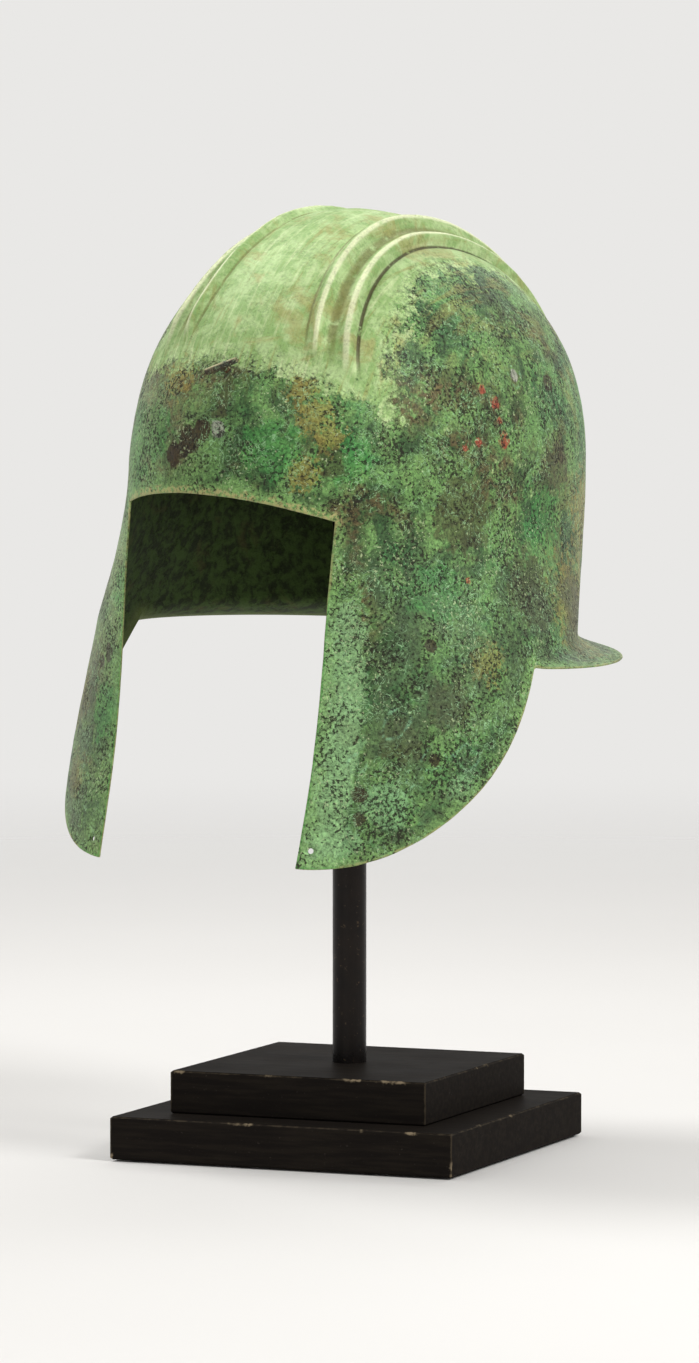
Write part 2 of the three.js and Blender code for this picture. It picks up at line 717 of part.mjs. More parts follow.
function build() {
  const object = new THREE.Group();
  object.name = 'illyrian_helmet';

  const stand = new THREE.Group();
  stand.name = 'stand';
  stand.rotation.z = base.turn;
  stand.add(named('base_felt', plate(felt.width, felt.thickness, 0, felt.thickness / 8), finish.felt));
  stand.add(named('base_lower_plate', lowerPlateShape(), finish.lacquer));
  stand.add(named('base_upper_plate', upperPlateShape(), finish.lacquer));
  stand.add(named('stand_post', postShape(), finish.darkMetal));
  stand.add(named('post_washer', postWasherShape(), finish.steel));
  const postScrewFoot = felt.thickness + gap;
  stand.add(named('post_screw', screw(postScrew, postScrewFoot, plateTop + post.screwDepth), finish.steel));
  const screwFoot = felt.thickness + plateScrew.counterbore - plateScrew.headHeight;
  screwPlaces.forEach(({ x, y }, i) => {
    const shape = screw(plateScrew, screwFoot, plateSeam + plateScrew.bite);
    const fastener = named(`plate_screw_${i + 1}`, shape, finish.steel);
    fastener.position.set(x, y, 0);
    stand.add(fastener);
  });

  const cradle = new THREE.Group();
  cradle.name = 'cradle';
  cradle.add(named('cradle_cap', cradleCap(), finish.darkMetal));
  cradle.add(named('cradle_set_screw', setScrewShape(), finish.steel));
  cradle.add(named('cradle_bar_long', cradleBarLong(), finish.darkMetal));
  cradle.add(named('cradle_bar_cross', cradleBarCross(), finish.darkMetal));
  cradle.add(named('cradle_screw', cradleScrewShape(), finish.steel));
  const padOn = (name, arc, turn, strip) =>
    cradle.add(named(name, cradlePad(arc, turn, strip), finish.felt));
  padOn('cradle_pad_left', crossBar, 0, crossStrip);
  padOn('cradle_pad_right', crossBar, 2 * quarterTurn, crossStrip);
  padOn('cradle_pad_back', longBar, quarterTurn, longStrip);
  padOn('cradle_pad_front', longBar, -quarterTurn, longStrip);

  // The helmet hangs in a turned group, so that it leans on its cradle.
  const bronze = new THREE.Group();
  bronze.name = 'helmet';
  bronze.position.set(-helmet.rightShift, helmet.backShift, pivotHeight);
  bronze.rotation.y = helmet.lean;
  const pieces = [
    named('helmet_shell', helmetShell(), finish.bronze),
    named('crest_pin_front', crestPinShape(crestPin.frontAngle), finish.pin),
    named('crest_pin_rear', crestPinShape(crestPin.rearAngle), finish.pin),
  ];
  for (const piece of pieces) {
    piece.position.z = -helmet.leanPivotHeight;
    bronze.add(piece);
  }

  object.add(stand, cradle, bronze);
  return object;
}

export default build();
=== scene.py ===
import math

import bmesh
import bpy
import numpy as np
from mathutils import Matrix, Vector, kdtree, noise


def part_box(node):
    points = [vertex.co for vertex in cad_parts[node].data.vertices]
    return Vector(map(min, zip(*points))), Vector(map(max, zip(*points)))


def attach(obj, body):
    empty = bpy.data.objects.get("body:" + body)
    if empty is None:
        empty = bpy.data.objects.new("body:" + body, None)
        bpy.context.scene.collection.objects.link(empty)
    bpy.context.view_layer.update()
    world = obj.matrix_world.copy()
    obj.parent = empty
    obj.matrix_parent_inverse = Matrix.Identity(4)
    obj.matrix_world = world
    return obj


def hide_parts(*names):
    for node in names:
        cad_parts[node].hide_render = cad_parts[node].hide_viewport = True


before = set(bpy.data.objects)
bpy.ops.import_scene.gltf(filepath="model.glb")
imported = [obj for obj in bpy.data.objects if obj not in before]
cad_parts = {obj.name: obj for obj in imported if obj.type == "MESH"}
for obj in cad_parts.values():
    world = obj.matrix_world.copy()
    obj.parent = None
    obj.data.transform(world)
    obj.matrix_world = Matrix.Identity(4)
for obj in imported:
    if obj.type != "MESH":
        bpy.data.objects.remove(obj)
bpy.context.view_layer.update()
mm = 0.001

# The helmet's form, in millimetres, with heights from the tip of the longer cheek piece.
# Angle 0 is the front, 90 degrees is the wearer's left (+X).
bowl = {
    "height": 270.0,
    "crownForward": 2.0,
    "lean": math.radians(3.7),
    "pivotHeight": 176.5,
    "pivotPlace": (-0.3, 1.2, 300.0),
    "wall": 1.6,
    "inset": 0.6,  # the fine sheet lies this far inside the solid one
    "sectionPowers": (2.17, 2.1),  # at the brow and at the crown
}
cuts = {
    "height": (0.0, 46.5, 91.5, 154.5),
    "halfWidth": (110.0, 111.2, 103.5, 86.5),
    "front": (102.0, 94.5, 94.0, 101.0),
    "back": (65.0, 78.0, 88.0, 117.0),
}
dome = {"halfWidth": (2.45, 1.84), "front": (2.55, 1.82), "back": (2.8, 1.76)}
opening = {
    "cornerHalfWidth": 53.0,
    "cornerHeight": 147.5,
    "archRise": 7.3,
    "archPower": 2.2,
    "tipHalfWidth": 50.2,
    "tips": {1: 6.5, -1: 0.0},  # heights of the left and right tips
    "cheekPowers": (2.08, 1.17),
}
tieHole = {"radius": 1.25, "aboveTip": 7.0, "behindEdge": 5.5}
guard = {
    "startAngle": math.radians(88.5),
    "height": 90.5,
    "backRise": 3.0,
    "width": 24.6,
    "drop": 5.5,
    "fillet": 3.5,
    "power": 0.5,
}
crest = {
    "frontAngle": math.radians(36),
    "backAngle": math.radians(196),
    "taper": math.radians(9),
    "shifts": (5.0, 2.0),  # to the wearer's left at the front and at the crown
    "bandRise": 3.2,
    "bandTaper": math.radians(45),
    "bandMargin": 2.5,
    "bandPower": 6,
    "inner": {"offsets": (33.0, 22.0, 25.0), "width": 8.5, "rise": 3.5, "skew": -0.25},
    "outer": {"offsets": (44.5, 31.0, 34.0), "width": 7.0, "rise": 3.0, "skew": 0.15},
    "ridgePower": 1.4,
    "creviceDepth": 0.55,
    # From which ridge, how far outwards, share of the depth, and width
    "crevices": [("toOuter", 4.2, 1.0, 1.0), ("toInner", 4.9, 0.7, 1.1), ("toInner", -4.8, 0.5, 0.9)],
    "paleTurns": (math.radians(19), math.radians(41)),  # the pale colour fades in between these
    "paleMargin": (2.0, 26.0),  # and fades by a share between these distances beyond the ridges
    "paleLoss": 0.75,
    "paleBehind": 0.2,
}
# Strips round the sheet and rows up the dome, down the wall and round the guard's bend.
sheetCounts = {"brow": 88, "cheek": 104, "neck": 236, "dome": 150, "wall": 88, "bend": 20}

# How uneven the bronze is, in millimetres. Each noise has a height, a size and a seed.
uneven = {
    "hammer": [(0.22, 17, 1), (0.09, 6, 2)],
    "hammerWithin": 0.5,  # share of the hammer marks that the inner face has
    "grain": [(0.05, 1.7, 3)],
    "ragged": [(2.2, 2.6, 4)],
    "rim": [(0.35, 7, 5), (0.18, 2.2, 6)],
    "rings": [(0.5, 5, 8)],
    "dentDepth": 0.45,
    "pitDepth": 0.5,
    "smoothEdge": 5.0,  # hammer marks fade out over this distance from the edge
    "thinEdge": 9.0,  # and the sheet thins over this one
    "thinShare": 0.75,
    "rimBulge": 0.8,
    "rimTurns": (40, 90, 140),
}
# The strip down the front of the cheek pieces: how far it reaches from the edge, and its top.
cheekStrip = {"reach": (8, 26), "height": 120, "fade": (-20, 30)}

# Marks on the surface as angle, height and radius, in degrees and millimetres.
surfaceMarks = {
    "rust": [(76, 203, 3.5), (80, 197, 4), (81, 190, 3), (82, 182, 5), (74, 181, 3), (70, 179, 2.5),
             (70, 125, 2.2), (-67, 151, 3.2), (-55, 142, 2.8), (-61, 147, 1.8)],
    "gouge": [(-11, 170, 5), (-6, 176, 6), (-2, 181, 4.5), (33, 62, 5), (29, 77, 2.6), (31, 80, 2.6),
              (29, 67, 2.4), (37, 38, 3.5), (38, 28, 3), (55, 53, 2.5), (56, 99, 3), (-49, 113, 3),
              (-69, 181, 2.6), (-34, 83, 4), (-38, 79, 3), (101, 205, 4)],
    "ring": [(45, 67, 5.5), (55, 53, 4.6), (64, 54, 5), (36, 50, 4), (50, 46, 3.6), (88, 208, 4.4)],
    "crust": [(44, 34, 10), (31, 72, 8), (32, 55, 9), (31, 38, 8), (34, 18, 9), (63, 42, 6), (28, 95, 6)],
    "ochre": [(72, 93, 8), (25, 201, 7), (29, 190, 7), (33, 181, 6), (27, 166, 6), (113, 110, 22),
              (120, 150, 16), (-54, 51, 4), (-50, 62, 10), (-15, 203, 9), (-45, 30, 9)],
    "emerald": [(-32, 173, 16), (-22, 178, 12), (19, 176, 13), (38, 173, 11), (-34, 150, 12),
                (-31, 110, 10), (-31, 60, 12), (95, 150, 14), (60, 120, 12), (125, 190, 16)],
    # The first four brown marks, in a column under the front pin, are partly a dark stain and partly the
    # pin's painted shadow.
    "brown": [(3, 204, 3), (3, 199, 3.5), (2, 194, 3.5), (2, 189, 3), (70, 151, 15), (46, 60, 9),
              (112, 112, 14), (90, 120, 16), (34, 172, 6), (-75, 105, 12), (-120, 140, 18),
              (100, 170, 12), (60, 75, 10), (150, 180, 18)],
    "silver": [(2, 182, 3.5), (88, 208, 2.6)],
    "dent": [(55, 190, 16), (-30, 188, 14), (25, 205, 18), (130, 170, 20), (-120, 190, 18), (80, 90, 20),
             (-70, 70, 22), (160, 150, 16), (-160, 200, 20), (-95, 140, 18)],
}
# How far a mark's edge fades, as a share of its radius.
markSoftness = {"rust": 0.9, "gouge": 0.6, "crust": 0.8, "ochre": 1.0, "emerald": 1.0, "brown": 1.0,
                "silver": 0.5}


# The bowl as a formula

def blendCuts(height, key):
    heights = np.array(cuts["height"])
    values = np.array(cuts[key])
    slopes = np.zeros(len(values))
    slopes[0] = (values[1] - values[0]) / (heights[1] - heights[0])
    slopes[1:-1] = (values[2:] - values[:-2]) / (heights[2:] - heights[:-2])
    above = np.clip(np.searchsorted(heights, height), 1, len(heights) - 1)
    span = heights[above] - heights[above - 1]
    t = np.clip((height - heights[above - 1]) / span, 0, 1)
    return (
        values[above - 1] * (1 + 2 * t) * (1 - t) ** 2
        + values[above] * t * t * (3 - 2 * t)
        + slopes[above - 1] * span * t * (1 - t) ** 2
        - slopes[above] * span * t * t * (1 - t)
    )


def reachAt(height, key):
    brow = cuts["height"][-1]
    rise = np.clip((height - brow) / (bowl["height"] - brow), 0, 1)
    upright, level = dome[key]
    forward = {"halfWidth": 0.0, "front": bowl["crownForward"], "back": -bowl["crownForward"]}[key]
    high = (cuts[key][-1] - forward) * (1 - rise**upright) ** (1 / level) + forward
    return np.where(height < brow, blendCuts(height, key), high)


def sectionPower(height):
    brow = cuts["height"][-1]
    low, high = bowl["sectionPowers"]
    return low + (high - low) * np.clip((height - brow) / (bowl["height"] - brow), 0, 1)


def bowlPoint(angle, height):
    angle, height = np.broadcast_arrays(np.asarray(angle, float), np.asarray(height, float))
    front, back = reachAt(height, "front"), reachAt(height, "back")
    power = 2 / sectionPower(height)
    sine, cosine = np.sin(angle), np.cos(angle)
    x = reachAt(height, "halfWidth") * np.sign(sine) * np.abs(sine) ** power
    y = (back - front) / 2 - (back + front) / 2 * np.sign(cosine) * np.abs(cosine) ** power
    return np.stack([x, y, height], -1)


def outward(angle, height):
    step = math.radians(0.5)
    along = bowlPoint(angle + step, height) - bowlPoint(angle - step, height)
    out = np.stack([along[..., 1], -along[..., 0], 0 * along[..., 0]], -1)
    return out / np.linalg.norm(out, axis=-1, keepdims=True)


def angleAtWidth(width, height):
    share = np.clip(width / reachAt(height, "halfWidth"), 0, 1)
    return np.arcsin(share ** (sectionPower(height) / 2))


def smoothStep(value, low, high):
    t = np.clip((value - low) / (high - low), 0, 1)
    return t * t * (3 - 2 * t)


def noiseAt(points, size, seed):
    shift = Vector((seed * 17.3, seed * 5.1, seed * 9.7))
    return np.array([noise.noise(Vector(point) / size + shift) for point in points])


def layered(points, layers):
    return sum(height * noiseAt(points, size, seed) for height, size, seed in layers)


# The sheet's columns, one after the other round the helmet from the brow's right end

def columnPart(share, low, **others):
    values = {"open": 0, "side": 0, "base": opening["cornerHeight"], "width": 0, "tip": 0, **others}
    values.update(share=share, low=low)
    return {key: 0 * share + value for key, value in values.items()}


def browColumns():
    half, corner = opening["cornerHalfWidth"], opening["cornerHeight"]
    shares = np.linspace(-1, 1, sheetCounts["brow"] + 1)[1:-1]
    angles = float(angleAtWidth(half, corner)) * shares
    x = bowlPoint(angles, corner)[:, 0]
    arch = corner + opening["archRise"] * (1 - (np.abs(x) / half) ** opening["archPower"])
    return columnPart(angles, arch, open=1, base=arch)


def cheekColumns(side):
    t = np.arange(sheetCounts["cheek"]) / sheetCounts["cheek"]
    share = t + 0.5 * np.sin(math.pi * t) / math.pi  # closer strips where the edge is steep
    along, up = opening["cheekPowers"]
    tip = opening["tips"][side]
    low = tip + (guard["height"] - tip) * (1 - (1 - share**along) ** (1 / up))
    return columnPart(share, low, side=side, tip=tip)


def neckColumns():
    share = np.linspace(0, 1, sheetCounts["neck"] + 1)
    bulge = np.clip(np.sin(math.pi * share), 0, 1)
    angles = guard["startAngle"] + (2 * math.pi - 2 * guard["startAngle"]) * share
    low = guard["height"] + guard["backRise"] * bulge**2
    return columnPart(angles, low, width=guard["width"] * bulge ** guard["power"])


def sheetColumns():
    right = {key: value[::-1] for key, value in cheekColumns(-1).items()}
    parts = browColumns(), cheekColumns(1), neckColumns(), right
    return {key: np.concatenate([part[key] for part in parts]) for key in right}


def columnAngles(columns, heights):
    corner = opening["cornerHeight"]
    level = np.minimum(heights, corner)
    t = (level - columns["tip"]) / (corner - columns["tip"])
    edge = opening["tipHalfWidth"] + (opening["cornerHalfWidth"] - opening["tipHalfWidth"]) * t
    start = angleAtWidth(edge, level)
    swept = start + (guard["startAngle"] - start) * columns["share"]
    return np.where(columns["side"] == 0, columns["share"], columns["side"] * swept)


def domePoints(columns):
    rows = np.arange(sheetCounts["dome"])[:, None]
    rise = np.sin(math.pi / 2 * rows / sheetCounts["dome"])
    heights = columns["base"] + (bowl["height"] - columns["base"]) * rise
    return bowlPoint(columnAngles(columns, heights), heights)


def skirtPoints(columns):
    wallRows, bendRows = sheetCounts["wall"], sheetCounts["bend"]
    bendTop = columns["low"] + guard["drop"] + guard["fillet"]
    rows = np.arange(1, wallRows + 1)[:, None]
    heights = columns["base"] + (bendTop - columns["base"]) * rows / wallRows
    wall = bowlPoint(columnAngles(columns, heights), heights)
    share = np.arange(1, bendRows + 1)[:, None] / bendRows
    out = columns["width"] * share**2
    drop = guard["drop"] * columns["width"] / guard["width"]
    up = (guard["drop"] + guard["fillet"]) * (1 - share) ** 2 + 2 * drop * share * (1 - share)
    heights = columns["low"] + up
    angles = columnAngles(columns, heights)
    bend = bowlPoint(angles, heights) + outward(angles, heights) * out[..., None]
    return np.concatenate([wall, bend])


# The crest: a raised band with a pair of ridges along each side

def ridgeOffset(ridge, turn):
    atFront, atCrown, atBack = ridge["offsets"]
    toFront = np.maximum((math.pi / 2 - turn) / (math.pi / 2 - crest["frontAngle"]), 0)
    toBack = np.maximum((turn - math.pi / 2) / (crest["backAngle"] - math.pi / 2), 0)
    return atCrown + (atFront - atCrown) * toFront**2 + (atBack - atCrown) * toBack**2


def crestShift(turn):
    atFront, atCrown = crest["shifts"]
    toFront = np.clip((math.pi / 2 - turn) / (math.pi / 2 - crest["frontAngle"]), 0, 1)
    return atCrown + (atFront - atCrown) * toFront


def turnOf(points):
    height = points[:, 2] - cuts["height"][-1]
    turn = np.arctan2(height, -bowl["crownForward"] - points[:, 1])
    return np.where(turn < -math.pi / 2, turn + 2 * math.pi, turn)


def swellAt(turn, taper):
    toEnd = np.minimum(turn - crest["frontAngle"], crest["backAngle"] - turn)
    return np.sin(math.pi / 2 * np.clip(toEnd / taper, 0, 1))


def bandLift(x, turn):
    swell = swellAt(turn, crest["bandTaper"]) ** 2
    across = np.abs(x) / (ridgeOffset(crest["outer"], turn) + crest["bandMargin"])
    return crest["bandRise"] * swell * (1 - np.minimum(across, 1) ** crest["bandPower"])


def ridgeLift(ridge, x, turn):
    share = (np.abs(x) - ridgeOffset(ridge, turn)) / (ridge["width"] / 2)
    skewed = np.clip(share - ridge["skew"] * (1 - np.minimum(share**2, 1)), -1, 1)
    return ridge["rise"] * swellAt(turn, crest["taper"]) * np.cos(math.pi / 2 * skewed) ** crest["ridgePower"]


# Grid indices and faces of the sheet

def sheetTopology(columns):
    count = len(columns["base"])
    skirt = np.flatnonzero(columns["open"] == 0)
    domeRows = sheetCounts["dome"]
    skirtRows = sheetCounts["wall"] + sheetCounts["bend"]
    domeGrid = np.arange(domeRows * count).reshape(domeRows, count)
    crown = domeRows * count
    lowGrid = crown + 1 + np.arange(skirtRows * len(skirt)).reshape(skirtRows, len(skirt))
    lowGrid = np.concatenate([skirt[None], lowGrid])
    ring = np.concatenate([domeGrid, domeGrid[:, :1]], 1)
    quads = [gridFaces(ring), gridFaces(lowGrid[::-1])]
    tips = np.stack([ring[-1, :-1], ring[-1, 1:], np.full(count, crown)], 1)
    brow = domeGrid[0, : sheetCounts["brow"] - 1]
    edge = np.concatenate([brow, lowGrid[:-1, 0], lowGrid[-1, :-1], lowGrid[::-1, -1]])
    return {"quads": np.concatenate(quads), "tips": tips, "edge": edge, "low": lowGrid}


def gridFaces(grid):
    corners = [grid[:-1, :-1], grid[:-1, 1:], grid[1:, 1:], grid[1:, :-1]]
    return np.stack([corner.ravel() for corner in corners], 1)


def vertexNormals(points, quads, tips):
    normals = np.zeros_like(points)
    for faces in (quads[:, [0, 1, 2]], quads[:, [0, 2, 3]], tips):
        a, b, c = (points[faces[:, k]] for k in range(3))
        for k in range(3):
            np.add.at(normals, faces[:, k], np.cross(b - a, c - a))
    return normals / np.maximum(np.linalg.norm(normals, axis=1, keepdims=True), 1e-9)


def distanceTo(points, targets, reach):
    tree = kdtree.KDTree(len(targets))
    for i, target in enumerate(targets):
        tree.insert(target, i)
    tree.balance()
    return np.array([min(tree.find(point)[2], reach) for point in points])


def markMask(points, marks, softness=0.5):
    mask = np.zeros(len(points))
    for angle, height, radius in marks:
        place = bowlPoint(math.radians(angle), height)
        away = np.linalg.norm(points - place, axis=1) / radius
        mask = np.maximum(mask, 1 - smoothStep(away, 1 - softness, 1 + softness))
    return mask


def toWorld(points):
    sine, cosine = math.sin(bowl["lean"]), math.cos(bowl["lean"])
    x, y, z = points[..., 0], points[..., 1], points[..., 2] - bowl["pivotHeight"]
    turned = np.stack([x * cosine + z * sine, y, z * cosine - x * sine], -1)
    return (turned + np.array(bowl["pivotPlace"])) * mm


# Moves a ring of grid points round each tie hole onto a circle, and lists what lies inside it.
def pinchTieHole(points, normals, grid, side):
    height = opening["tips"][side] + tieHole["aboveTip"]
    angle = side * angleAtWidth(opening["tipHalfWidth"] + tieHole["behindEdge"], height)
    place = bowlPoint(angle, height)
    away = np.linalg.norm(points[grid] - place, axis=-1)
    row, column = np.unravel_index(np.argmin(away), grid.shape)
    steps = [(-2, k) for k in range(-2, 2)] + [(k, 2) for k in range(-2, 2)]
    steps += [(2, -k) for k in range(-2, 2)] + [(-k, -2) for k in range(-2, 2)]
    ring = np.array([grid[row + r, column + k] for r, k in steps])
    inside = grid[row - 1 : row + 2, column - 1 : column + 2].ravel()
    middle, normal = points[grid[row, column]], normals[grid[row, column]]
    flat = points[ring] - middle
    flat -= normal * (flat @ normal)[:, None]
    points[ring] = middle + flat / np.linalg.norm(flat, axis=1, keepdims=True) * tieHole["radius"]
    return ring, inside


# Rounds the rim between the two faces, a little wavy.
def rimLoops(points, outer, inner, normals):
    tangent = np.roll(outer, -1, 0) - np.roll(outer, 1, 0)
    out = np.cross(normals, tangent)
    out /= np.linalg.norm(out, axis=1, keepdims=True)
    lowest = np.argmin(outer[:, 2])
    out *= -np.sign(out[lowest, 2])
    middle, half = (outer + inner) / 2, (outer - inner) / 2
    bulge = np.linalg.norm(half, axis=1, keepdims=True) * uneven["rimBulge"]
    turns = [math.radians(angle) for angle in uneven["rimTurns"]]
    loops = [middle + half * math.cos(turn) + out * bulge * math.sin(turn) for turn in turns]
    wander = layered(points, uneven["rim"])[:, None]
    return [loop + (loops[1] - middle) * wander for loop in loops]


# The sheet's middle face: dome, crown and skirt
def sheetPoints(columns):
    skirt = {key: value[columns["open"] == 0] for key, value in columns.items()}
    crown = np.array([[0, -bowl["crownForward"], bowl["height"]]])
    return np.concatenate([domePoints(columns).reshape(-1, 3), crown, skirtPoints(skirt).reshape(-1, 3)])


# Where each point lies on the crest, with its distances from the middle and from the ridges
def crestPlaces(points):
    turn = turnOf(points)
    x = points[:, 0] - crestShift(turn)
    return {
        "turn": turn,
        "x": x,
        "ridged": swellAt(turn, crest["taper"]),
        "toInner": np.abs(x) - ridgeOffset(crest["inner"], turn),
        "toOuter": np.abs(x) - ridgeOffset(crest["outer"], turn),
    }


# The outer and the inner face, with crest, hammer marks, dents and pits
def sheetSides(points, normals, places, edgeDistance):
    turn, x = places["turn"], places["x"]
    crevice = np.zeros(len(points))
    for ridge, middle, depth, width in crest["crevices"]:
        away = places[ridge] - middle
        crevice = np.maximum(crevice, depth * places["ridged"] * np.exp(-((away / width) ** 2)))
    inland = smoothStep(edgeDistance, 0, uneven["smoothEdge"])
    hammer, grain = layered(points, uneven["hammer"]), layered(points, uneven["grain"])
    dents = -uneven["dentDepth"] * markMask(points, surfaceMarks["dent"], 1.0)
    gouges = markMask(points, surfaceMarks["gouge"], markSoftness["gouge"])
    pits = -uneven["pitDepth"] * gouges * np.clip(layered(points, uneven["ragged"]) + 0.5, 0, 1)
    ridges = ridgeLift(crest["inner"], x, turn) + ridgeLift(crest["outer"], x, turn)
    lift = ridges - crest["creviceDepth"] * crevice + (hammer + dents + grain) * inland + pits
    thick = uneven["thinShare"] + (1 - uneven["thinShare"]) * smoothStep(edgeDistance, 0, uneven["thinEdge"])
    depth = (bowl["wall"] - bowl["inset"]) * thick - uneven["hammerWithin"] * hammer * inland
    sheet = points + normals * (bandLift(x, turn) - bowl["inset"])[:, None]
    return sheet + normals * lift[:, None], sheet - normals * depth[:, None]


# Faces of both sides, of the rim between them and of the walls of the tie holes
def sheetFaces(topology, holes, count):
    edge, quads, tips = topology["edge"], topology["quads"], topology["tips"]
    for ring, hidden in holes:
        quads = quads[~np.isin(quads, hidden).any(1)]
    faces = quads.tolist() + tips.tolist()
    faces += (quads[:, ::-1] + count).tolist() + (tips[:, ::-1] + count).tolist()
    loops = [2 * count + k * len(edge) + np.arange(len(edge)) for k in range(len(uneven["rimTurns"]))]
    bands = [edge, *loops, count + edge]
    for near, far in zip(bands[:-1], bands[1:]):
        faces += np.stack([near, far, np.roll(far, -1), np.roll(near, -1)], 1).tolist()
    for ring, hidden in holes:
        far = ring + count
        faces += np.stack([ring, np.roll(ring, -1), np.roll(far, -1), far], 1).tolist()
    return faces


# Masks and distances that the bronze's colours read on the outer face
def outerMasks(points, topology, places):
    turn, low = places["turn"], topology["low"]
    loss = crest["paleLoss"] * smoothStep(places["toOuter"], *crest["paleMargin"])
    pale = smoothStep(turn, *crest["paleTurns"]) * (1 - loss)
    frontEdge = np.concatenate([low[:, 0], low[:, -1]])
    strip = 1 - smoothStep(distanceTo(points, points[frontEdge], 40.0), *cheekStrip["reach"])
    masks = {key: places[key] for key in ("ridged", "toInner", "toOuter")}
    masks["crestMask"] = pale * (turn < crest["backAngle"] + crest["paleBehind"])
    masks["cheekFront"] = strip * smoothStep(cheekStrip["height"] - points[:, 2], *cheekStrip["fade"])
    masks["ring"] = ringMask(points)
    for key, softness in markSoftness.items():
        masks[key] = markMask(points, surfaceMarks[key], softness)
    return masks


# The mesh has the outer face's points, then the inner face's, then the rim's.
def addMasks(mesh, points, topology, places, edgeDistance):
    blank, rimBlank = np.zeros(len(points)), np.zeros(len(mesh.vertices) - 2 * len(points))
    sides = {key: (values, blank) for key, values in outerMasks(points, topology, places).items()}
    sides["edgeDistance"] = (edgeDistance, edgeDistance)
    sides["within"] = (blank, blank + 1)
    for key, (onOuter, onInner) in sides.items():
        attribute = mesh.attributes.new(key, "FLOAT", "POINT")
        values = np.concatenate([onOuter, onInner, rimBlank])
        attribute.data.foreach_set("value", np.asarray(values, np.float32))
    along = np.stack([places["x"], places["turn"] * 100, blank], 1)
    rim = np.tile(along[topology["edge"]], (len(uneven["rimTurns"]), 1))
    brushed = mesh.attributes.new("brushed", "FLOAT_VECTOR", "POINT")
    brushed.data.foreach_set("vector", np.concatenate([along, along, rim]).astype(np.float32).ravel() * mm)


def makeHelmet():
    columns = sheetColumns()
    topology = sheetTopology(columns)
    points = sheetPoints(columns)
    normals = vertexNormals(points, topology["quads"], topology["tips"])
    print("helmet sheet", len(points), "points")
    holes = [pinchTieHole(points, normals, topology["low"], side) for side in (1, -1)]
    places, edge = crestPlaces(points), topology["edge"]
    edgeDistance = distanceTo(points, points[edge], 40.0)
    outer, inner = sheetSides(points, normals, places, edgeDistance)
    loops = rimLoops(points[edge], outer[edge], inner[edge], normals[edge])
    everything = np.concatenate([outer, inner, *loops])
    mesh = bpy.data.meshes.new("bronze_helmet")
    mesh.from_pydata(toWorld(everything).tolist(), [], sheetFaces(topology, holes, len(points)))
    addMasks(mesh, points, topology, places, edgeDistance)
    return finishMesh(mesh, "bronze_helmet")


# Crooked rings round the marks of that name, 1 on the ring and 0 away from it.
def ringMask(points):
    lineWidth = 1.4
    crooked = layered(points, uneven["rings"])
    mask = np.zeros(len(points))
    for angle, height, radius in surfaceMarks["ring"]:
        place = bowlPoint(math.radians(angle), height)
        away = np.linalg.norm(points - place, axis=1) / radius + crooked
        mask = np.maximum(mask, 1 - np.clip(np.abs(away - 1) * radius / lineWidth, 0, 1))
    return mask


# Drops loose points, turns the faces outwards and makes an object of a mesh.
def finishMesh(mesh, name, smooth=True):
    shape = bmesh.new()
    shape.from_mesh(mesh)
    loose = [vertex for vertex in shape.verts if not vertex.link_faces]
    bmesh.ops.delete(shape, geom=loose, context="VERTS")
    bmesh.ops.recalc_face_normals(shape, faces=shape.faces)
    for face in shape.faces:
        face.smooth = smooth
    shape.to_mesh(mesh)
    shape.free()
    return addObject(name, mesh)


def finishShape(shape, name, smooth=True):
    mesh = bpy.data.meshes.new(name)
    shape.to_mesh(mesh)
    shape.free()
    return finishMesh(mesh, name, smooth)


def addObject(name, data):
    item = bpy.data.objects.new(name, data)
    bpy.context.scene.collection.objects.link(item)
    return item


# Crest pins

crestPin = {
    "frontAngle": math.radians(29),
    "rearAngle": math.radians(172),
    "frontRadius": 1.65,
    "rearRadius": 1.4,
    "stand": 5.0,
    "barHalf": (7.5, 0.0, 3.0),
    "shift": 4.0,
    "gap": 0.3,
    "hollow": 2.2,
    "pit": ((1.0, 0.45), (0.1, 0.55), (0.0, 0.8)),  # share of its depth, and its width there
    "barThick": (0.94, 0.16),  # share of the radius, and what it loses toward the far end
    "stemThick": (0.97, 0.1),  # the same, and what it loses at its waist
    "patina": {"Deep": "2b1f14", "Fresh": "4c4128", "Cold": "3c472c", "Stain": "5c3a20"},
    # The pale colour of the pin's upper side is a painted highlight.
    "paintedTopHighlight": "b9b284",
}


# The outer face at one distance from the middle plane, in a direction that turns over the crown
def facePoint(x, turn):
    start = np.array([x, -bowl["crownForward"], cuts["height"][-1]])
    direction = np.array([0, -math.cos(turn), math.sin(turn)])
    near, far = 0.0, bowl["height"]
    for halving in range(40):
        reach = (near + far) / 2
        point = start + direction * reach
        front, back = float(reachAt(point[2], "front")), float(reachAt(point[2], "back"))
        power = float(sectionPower(point[2]))
        across = abs(x) / max(float(reachAt(point[2], "halfWidth")), 1e-6)
        depth = abs(point[1] - (back - front) / 2) / max((back + front) / 2, 1e-6)
        inside = point[2] < bowl["height"] and across**power + depth**power < 1
        near, far = (reach, far) if inside else (near, reach)
    return start + direction * near


def faceNormal(x, turn):
    step, reach = math.radians(0.5), bowl["wall"]
    along = facePoint(x, turn + step) - facePoint(x, turn - step)
    across = facePoint(x + reach, turn) - facePoint(x - reach, turn)
    normal = np.cross(across, along)
    return normal / np.linalg.norm(normal)


